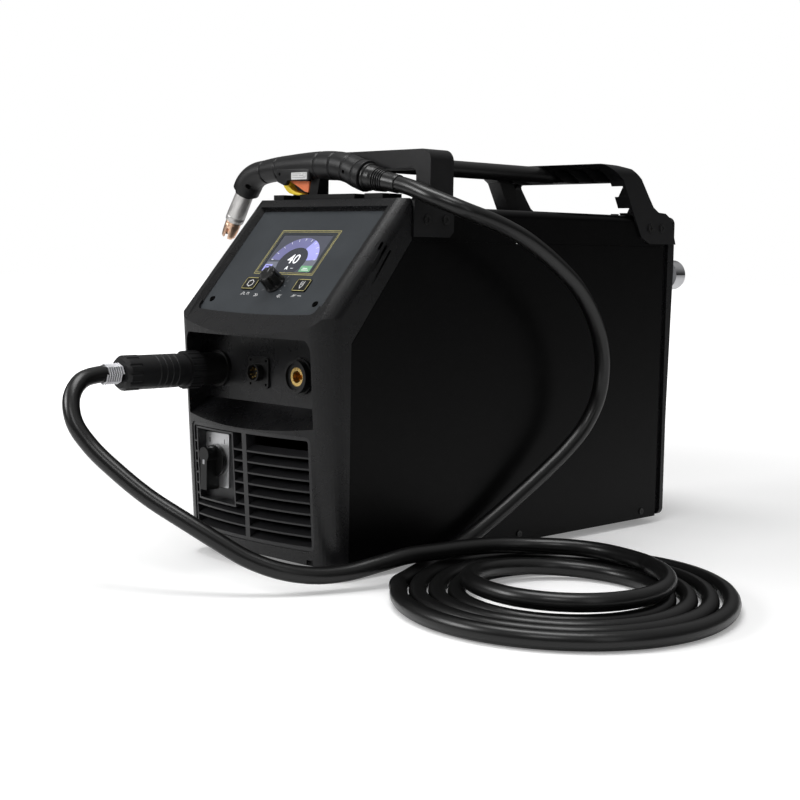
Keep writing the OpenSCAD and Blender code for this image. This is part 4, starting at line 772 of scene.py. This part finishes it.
def add_icons():
    # nut and steps on the left button, electrode on the right one
    hexagon = [(x, y) for x, y in arc_pts(*LEFT_BUTTON, 4.6, 90, 450, 6)[:-1]]
    ring = line_strip(hexagon, 1.0, closed=True)
    prints("left_print", ring, ramp, CAP_H, M["print"], "left_button", 0.03)
    prints("left_gold", line_strip(rounded_rect(*LEFT_BUTTON, 20.4, 15.4, 1.6), 0.7, closed=True),
           ramp, CAP_H, M["gold"], "left_button", 0.03)
    tool = line_strip([(44.7, 45.5), (44.7, 39.5), (47, 35.7), (49.3, 39.5), (49.3, 45.5)], 0.7)
    tool += line_strip([(47, 45.1), (47, 40.1)], 0.6)
    prints("right_print", tool, ramp, CAP_H, M["print"], "right_button", 0.03)
    prints("right_gold", line_strip(rounded_rect(*RIGHT_BUTTON, 20.4, 15.4, 1.6), 0.7, closed=True),
           ramp, CAP_H, M["gold"], "right_button", 0.03)
    # short marks under the buttons and either side of the knob
    marks = []
    marks += line_strip([(-44, 25), (-41.5, 25), (-41.5, 28), (-38.5, 28), (-38.5, 25), (-36, 25)],
                        0.55)
    marks += line_strip([(-33.5, 25), (-33.5, 28), (-30.5, 28), (-30.5, 25)], 0.55)
    marks += line_strip([(41, 25), (44, 28), (44, 25), (47, 28)], 0.55)
    marks += line_strip([(50, 26.5), (56, 26.5)], 0.55)
    for x, s in ((-17, 1), (21, -1)):
        marks += line_strip([(x, 23), (x + 3 * s, 25), (x, 27)], 0.55)
        marks += line_strip([(x - 3 * s, 23), (x, 25), (x - 3 * s, 27)], 0.55)
    prints("film_marks", marks, ramp, PRINT_H, M["print"], "case", 0.03)
    # painted shade: flat black discs on the film stand for the dark screw wells
    wells = [arc_pts(x, 16.5, 3.9, 0, 360, 32)[:-1] for x in (-86, 86)]
    prints("painted_screw_well_shade", wells, ramp, PRINT_H, M["hole"], "case", 0.03)
    # scale round the knob
    dots = []
    for i in range(11):
        a = math.radians(-30 + 24 * i)
        r0, r1 = (15.4, 17.4) if i % 5 else (15.4, 18.2)
        dots += line_strip([(KNOB[0] + r0 * math.cos(a), KNOB[1] + r0 * math.sin(a)),
                            (KNOB[0] + r1 * math.cos(a), KNOB[1] + r1 * math.sin(a))], 0.4)
    prints("knob_scale", dots, ramp, PRINT_H, M["print_dim"], "case", 0.03)


def add_knob():
    """Setting knob: flared foot, seven flutes, dished top with a pointer line."""
    at = (KNOB[0], RAMP_Y + KNOB[1] * UP_SLOPE.y, RAMP_Z + KNOB[1] * UP_SLOPE.z)
    base = Vector(at) + OUT_SLOPE * (PLATE_H + 0.4)

    def dip(r, h, ang):
        if r < 6 or h < 2.4:
            return r
        c = math.cos(7 * ang)
        cut = max(0.0, c) ** 3 * 1.7 * min(1.0, (h - 2.4) / 2.0)
        return r - cut * min(1.0, (r - 6) / 4)

    profile = [(3.2, 0), (11.9, 0), (12.25, 0.5), (12.1, 1.9), (11.6, 2.6), (11.5, 4.0), (11.2, 9),
               (10.8, 16), (10.5, 17.1), (9.7, 17.8), (8.9, 18), (8.2, 17.8), (7.5, 17.4),
               (4, 17.3), (0, 17.3)]
    mesh = lathe("setting_knob", profile, base, OUT_SLOPE, ref=(1, 0, 0), sides=168, dip=dip)
    add_object("setting_knob", mesh, M["knob"], "encoder_knob", ("encoder_knob",))
    prints("knob_pointer", line_strip([(KNOB[0], 44), (KNOB[0], 48)], 0.9), ramp, PLATE_H + 0.4 + 17.32,
           M["print_dim"], "encoder_knob", 0.05)


add_display()
add_text("screen_value", "40", (4.5, 77), 18.5, M["screen_white"], "case", ramp, SCREEN_H + 0.07,
         0.1)
add_text("screen_unit", "A", (2.5, 64.6), 7, M["screen_white"], "case", ramp, SCREEN_H + 0.07, 0.2)
add_icons()
add_knob()

# ---------------------------------------------------------------- switch
SWITCH_Y = -283


def switch_face(u, v, h):
    """Point in front of the switch: across, up and towards the front, in mm."""
    return P(u, SWITCH_Y - h, v)



add_text("switch_on", "1", (-56, 131), 7, M["print_dark"], "case", switch_face, 1.73, 0.15)
add_text("switch_off", "0", (-82, 131), 7, M["print_dark"], "case", switch_face, 1.73, 0.15)
prints("switch_mark", [rounded_rect(-69.5, 109, 3.4, 5.2, 0.6)], switch_face, 3.2 + 17.02,
       M["print_grey"], "switch_lever", 0.05)

# ---------------------------------------------------------------- rear
GAUGE = Vector((95, 343, 319))
FAN_Z = 130


def rear(u, v, h):
    """Face of the gauge seen from behind: u to the viewer's right, v up, h towards the viewer."""
    return P(GAUGE.x - u, GAUGE.y + h, GAUGE.z + v)


def add_gauge():
    face = [arc_pts(0, 0, 16.7, 0, 360, 64)[:-1]]
    prints("gauge_face", face, rear, -7.95, M["print"], "case", 0.1)
    ticks, fine = [], []
    for i in range(51):
        a = math.radians(225 - 5.4 * i)
        c, s = math.cos(a), math.sin(a)
        r1 = 15.3
        r0 = 12.2 if i % 10 == 0 else 13.4 if i % 5 == 0 else 14.2
        w = 0.5 if i % 10 == 0 else 0.3
        (ticks if i % 5 == 0 else fine).extend(line_strip([(r0 * c, r0 * s), (r1 * c, r1 * s)], w))
    prints("gauge_ticks", ticks + fine, rear, -7.84, M["print_dark"], "case", 0.04)
    for i in range(6):
        a = math.radians(225 - 54 * i)
        add_text("gauge_%d" % (2 * i), str(2 * i), (9.7 * math.cos(a), 9.7 * math.sin(a)), 3.6,
                 M["print_dark"], "case", rear, -7.84, 0.03)
    red = arc_pts(0, 0, 16.3, -45, 9, 16) + arc_pts(0, 0, 15.5, 9, -45, 16)
    prints("gauge_red", [red], rear, -7.84, M["red"], "case", 0.04)


def add_guard():
    """Welded wire guard over the fan."""
    rings = []
    for r in (13, 21, 29, 37, 45, 53, 58):
        verts, faces = [], []
        n, m = 72, 10
        for i in range(n):
            a = 2 * math.pi * i / n
            for j in range(m):
                b = 2 * math.pi * j / m
                rr = r + 0.9 * math.cos(b)
                verts.append(P(rr * math.cos(a), 294.9 + 0.9 * math.sin(b), FAN_Z + rr * math.sin(a)))
        for i in range(n):
            for j in range(m):
                p, q = i * m, (i + 1) % n * m
                k = (j + 1) % m
                faces.append((p + j, q + j, q + k, p + k))
        rings.append(mesh_from("g", verts, faces))
    for k in range(4):
        a = math.radians(45 + 90 * k)
        at = (12 * math.cos(a), 293.9, FAN_Z + 12 * math.sin(a))
        rings.append(lathe("g", [(0, 0), (0.9, 0.1), (0.9, 46.6), (0, 46.8)], at,
                           (math.cos(a), 0, math.sin(a)), ref=(0, 1, 0), sides=12))
        at = (57.6 * math.cos(a), 293.2, FAN_Z + 57.6 * math.sin(a))
        rings.append(lathe("g", [(0, 2.9), (1.6, 2.9), (3.0, 2.2), (3.4, 1.2), (3.4, 0), (0, 0)], at,
                           (0, 1, 0), ref=(1, 0, 0), sides=24))
    rings.append(lathe("g", [(0, 0), (11.6, 0), (12.4, 0.5), (12.4, 1.2), (11.6, 1.6), (0, 1.6)],
                       (0, 293.8, FAN_Z), (0, 1, 0), ref=(1, 0, 0), sides=48))
    add_object("guard", join("guard", rings), M["steel_black"], "case",
               ("fan_guard",))


add_gauge()
add_guard()

# ---------------------------------------------------------------- floor, backdrop and light
def add_stage():
    mesh = bpy.data.meshes.new("floor")
    s = 14
    mesh.from_pydata([(-s, -s, -0.0006), (s, -s, -0.0006), (s, s, -0.0006), (-s, s, -0.0006)], [],
                     [(0, 1, 2, 3)])
    floor = bpy.data.objects.new("floor", mesh)
    scene.collection.objects.link(floor)
    m = bpy.data.materials.new("floor")
    m.use_nodes = True
    nt = m.node_tree
    bsdf = nt.nodes["Principled BSDF"]
    bsdf.inputs["Base Color"].default_value = (0.86, 0.86, 0.86, 1)
    bsdf.inputs["Roughness"].default_value = 0.9
    bsdf.inputs["Specular IOR Level"].default_value = 0.1
    glow = nt.nodes.new("ShaderNodeEmission")
    tex = nt.nodes.new("ShaderNodeTexCoord")
    far = nt.nodes.new("ShaderNodeVectorMath")
    far.operation = "LENGTH"
    nt.links.new(tex.outputs["Object"], far.inputs[0])
    fade = nt.nodes.new("ShaderNodeMapRange")
    fade.interpolation_type = "SMOOTHSTEP"
    fade.inputs["From Min"].default_value = 0.5
    fade.inputs["From Max"].default_value = 2.2
    fade.inputs["To Min"].default_value = 0.22
    fade.inputs["To Max"].default_value = 1.0
    nt.links.new(far.outputs["Value"], fade.inputs["Value"])
    nt.links.new(fade.outputs["Result"], glow.inputs["Strength"])
    path = nt.nodes.new("ShaderNodeLightPath")
    add = nt.nodes.new("ShaderNodeAddShader")
    mix = nt.nodes.new("ShaderNodeMixShader")
    out = nt.nodes["Material Output"]
    nt.links.new(bsdf.outputs[0], add.inputs[0])
    nt.links.new(glow.outputs[0], add.inputs[1])
    nt.links.new(path.outputs["Is Camera Ray"], mix.inputs[0])
    nt.links.new(bsdf.outputs[0], mix.inputs[1])
    nt.links.new(add.outputs[0], mix.inputs[2])
    nt.links.new(mix.outputs[0], out.inputs["Surface"])
    mesh.materials.append(m)

    world = bpy.data.worlds.new("world")
    world.use_nodes = True
    scene.world = world
    nt = world.node_tree
    back = nt.nodes["Background"]
    back.inputs["Color"].default_value = (1, 1, 1, 1)
    back.inputs["Strength"].default_value = 0.32
    white = nt.nodes.new("ShaderNodeBackground")
    white.inputs["Color"].default_value = (1, 1, 1, 1)
    white.inputs["Strength"].default_value = 1.0
    # reflections see a studio that is dark round the horizon and bright overhead
    studio = nt.nodes.new("ShaderNodeBackground")
    studio.inputs["Color"].default_value = (1, 1, 1, 1)
    tex = nt.nodes.new("ShaderNodeTexCoord")
    split = nt.nodes.new("ShaderNodeSeparateXYZ")
    nt.links.new(tex.outputs["Generated"], split.inputs[0])
    rise = nt.nodes.new("ShaderNodeMapRange")
    rise.interpolation_type = "SMOOTHSTEP"
    rise.inputs["From Min"].default_value = 0.0
    rise.inputs["From Max"].default_value = 0.85
    rise.inputs["To Min"].default_value = 0.02
    rise.inputs["To Max"].default_value = 0.4
    nt.links.new(split.outputs["Z"], rise.inputs["Value"])
    nt.links.new(rise.outputs["Result"], studio.inputs["Strength"])
    path = nt.nodes.new("ShaderNodeLightPath")
    seen = nt.nodes.new("ShaderNodeMath")
    seen.operation = "MAXIMUM"
    nt.links.new(path.outputs["Is Camera Ray"], seen.inputs[0])
    nt.links.new(path.outputs["Is Transmission Ray"], seen.inputs[1])
    shader = back
    for factor, layer in ((path.outputs["Is Glossy Ray"], studio), (seen.outputs[0], white)):
        mix = nt.nodes.new("ShaderNodeMixShader")
        nt.links.new(factor, mix.inputs[0])
        nt.links.new(shader.outputs[0], mix.inputs[1])
        nt.links.new(layer.outputs[0], mix.inputs[2])
        shader = mix
    nt.links.new(shader.outputs[0], nt.nodes["World Output"].inputs["Surface"])


def add_lamp(name, at, target, size, power):
    data = bpy.data.lights.new(name, "AREA")
    data.shape = "RECTANGLE"
    data.size, data.size_y = size
    data.energy = power
    lamp = bpy.data.objects.new(name, data)
    scene.collection.objects.link(lamp)
    lamp.location = at
    lamp.rotation_euler = (Vector(target) - Vector(at)).to_track_quat("-Z", "Y").to_euler()


add_stage()
add_lamp("key", (-1.9, -1.9, 1.7), (0, -0.2, 0.28), (1.0, 1.0), 10)
add_lamp("nose", (-0.95, -1.95, 1.15), (0.05, -0.3, 0.28), (0.7, 0.7), 18)
add_lamp("corner", (1.2, -2.0, 1.9), (0.1, -0.2, 0.3), (0.8, 0.5), 8)
add_lamp("top", (0.1, -0.35, 2.2), (0.05, -0.1, 0.3), (1.6, 0.8), 26)
add_lamp("fill", (2.4, -0.9, 1.3), (0.1, 0, 0.2), (0.5, 1.6), 3)
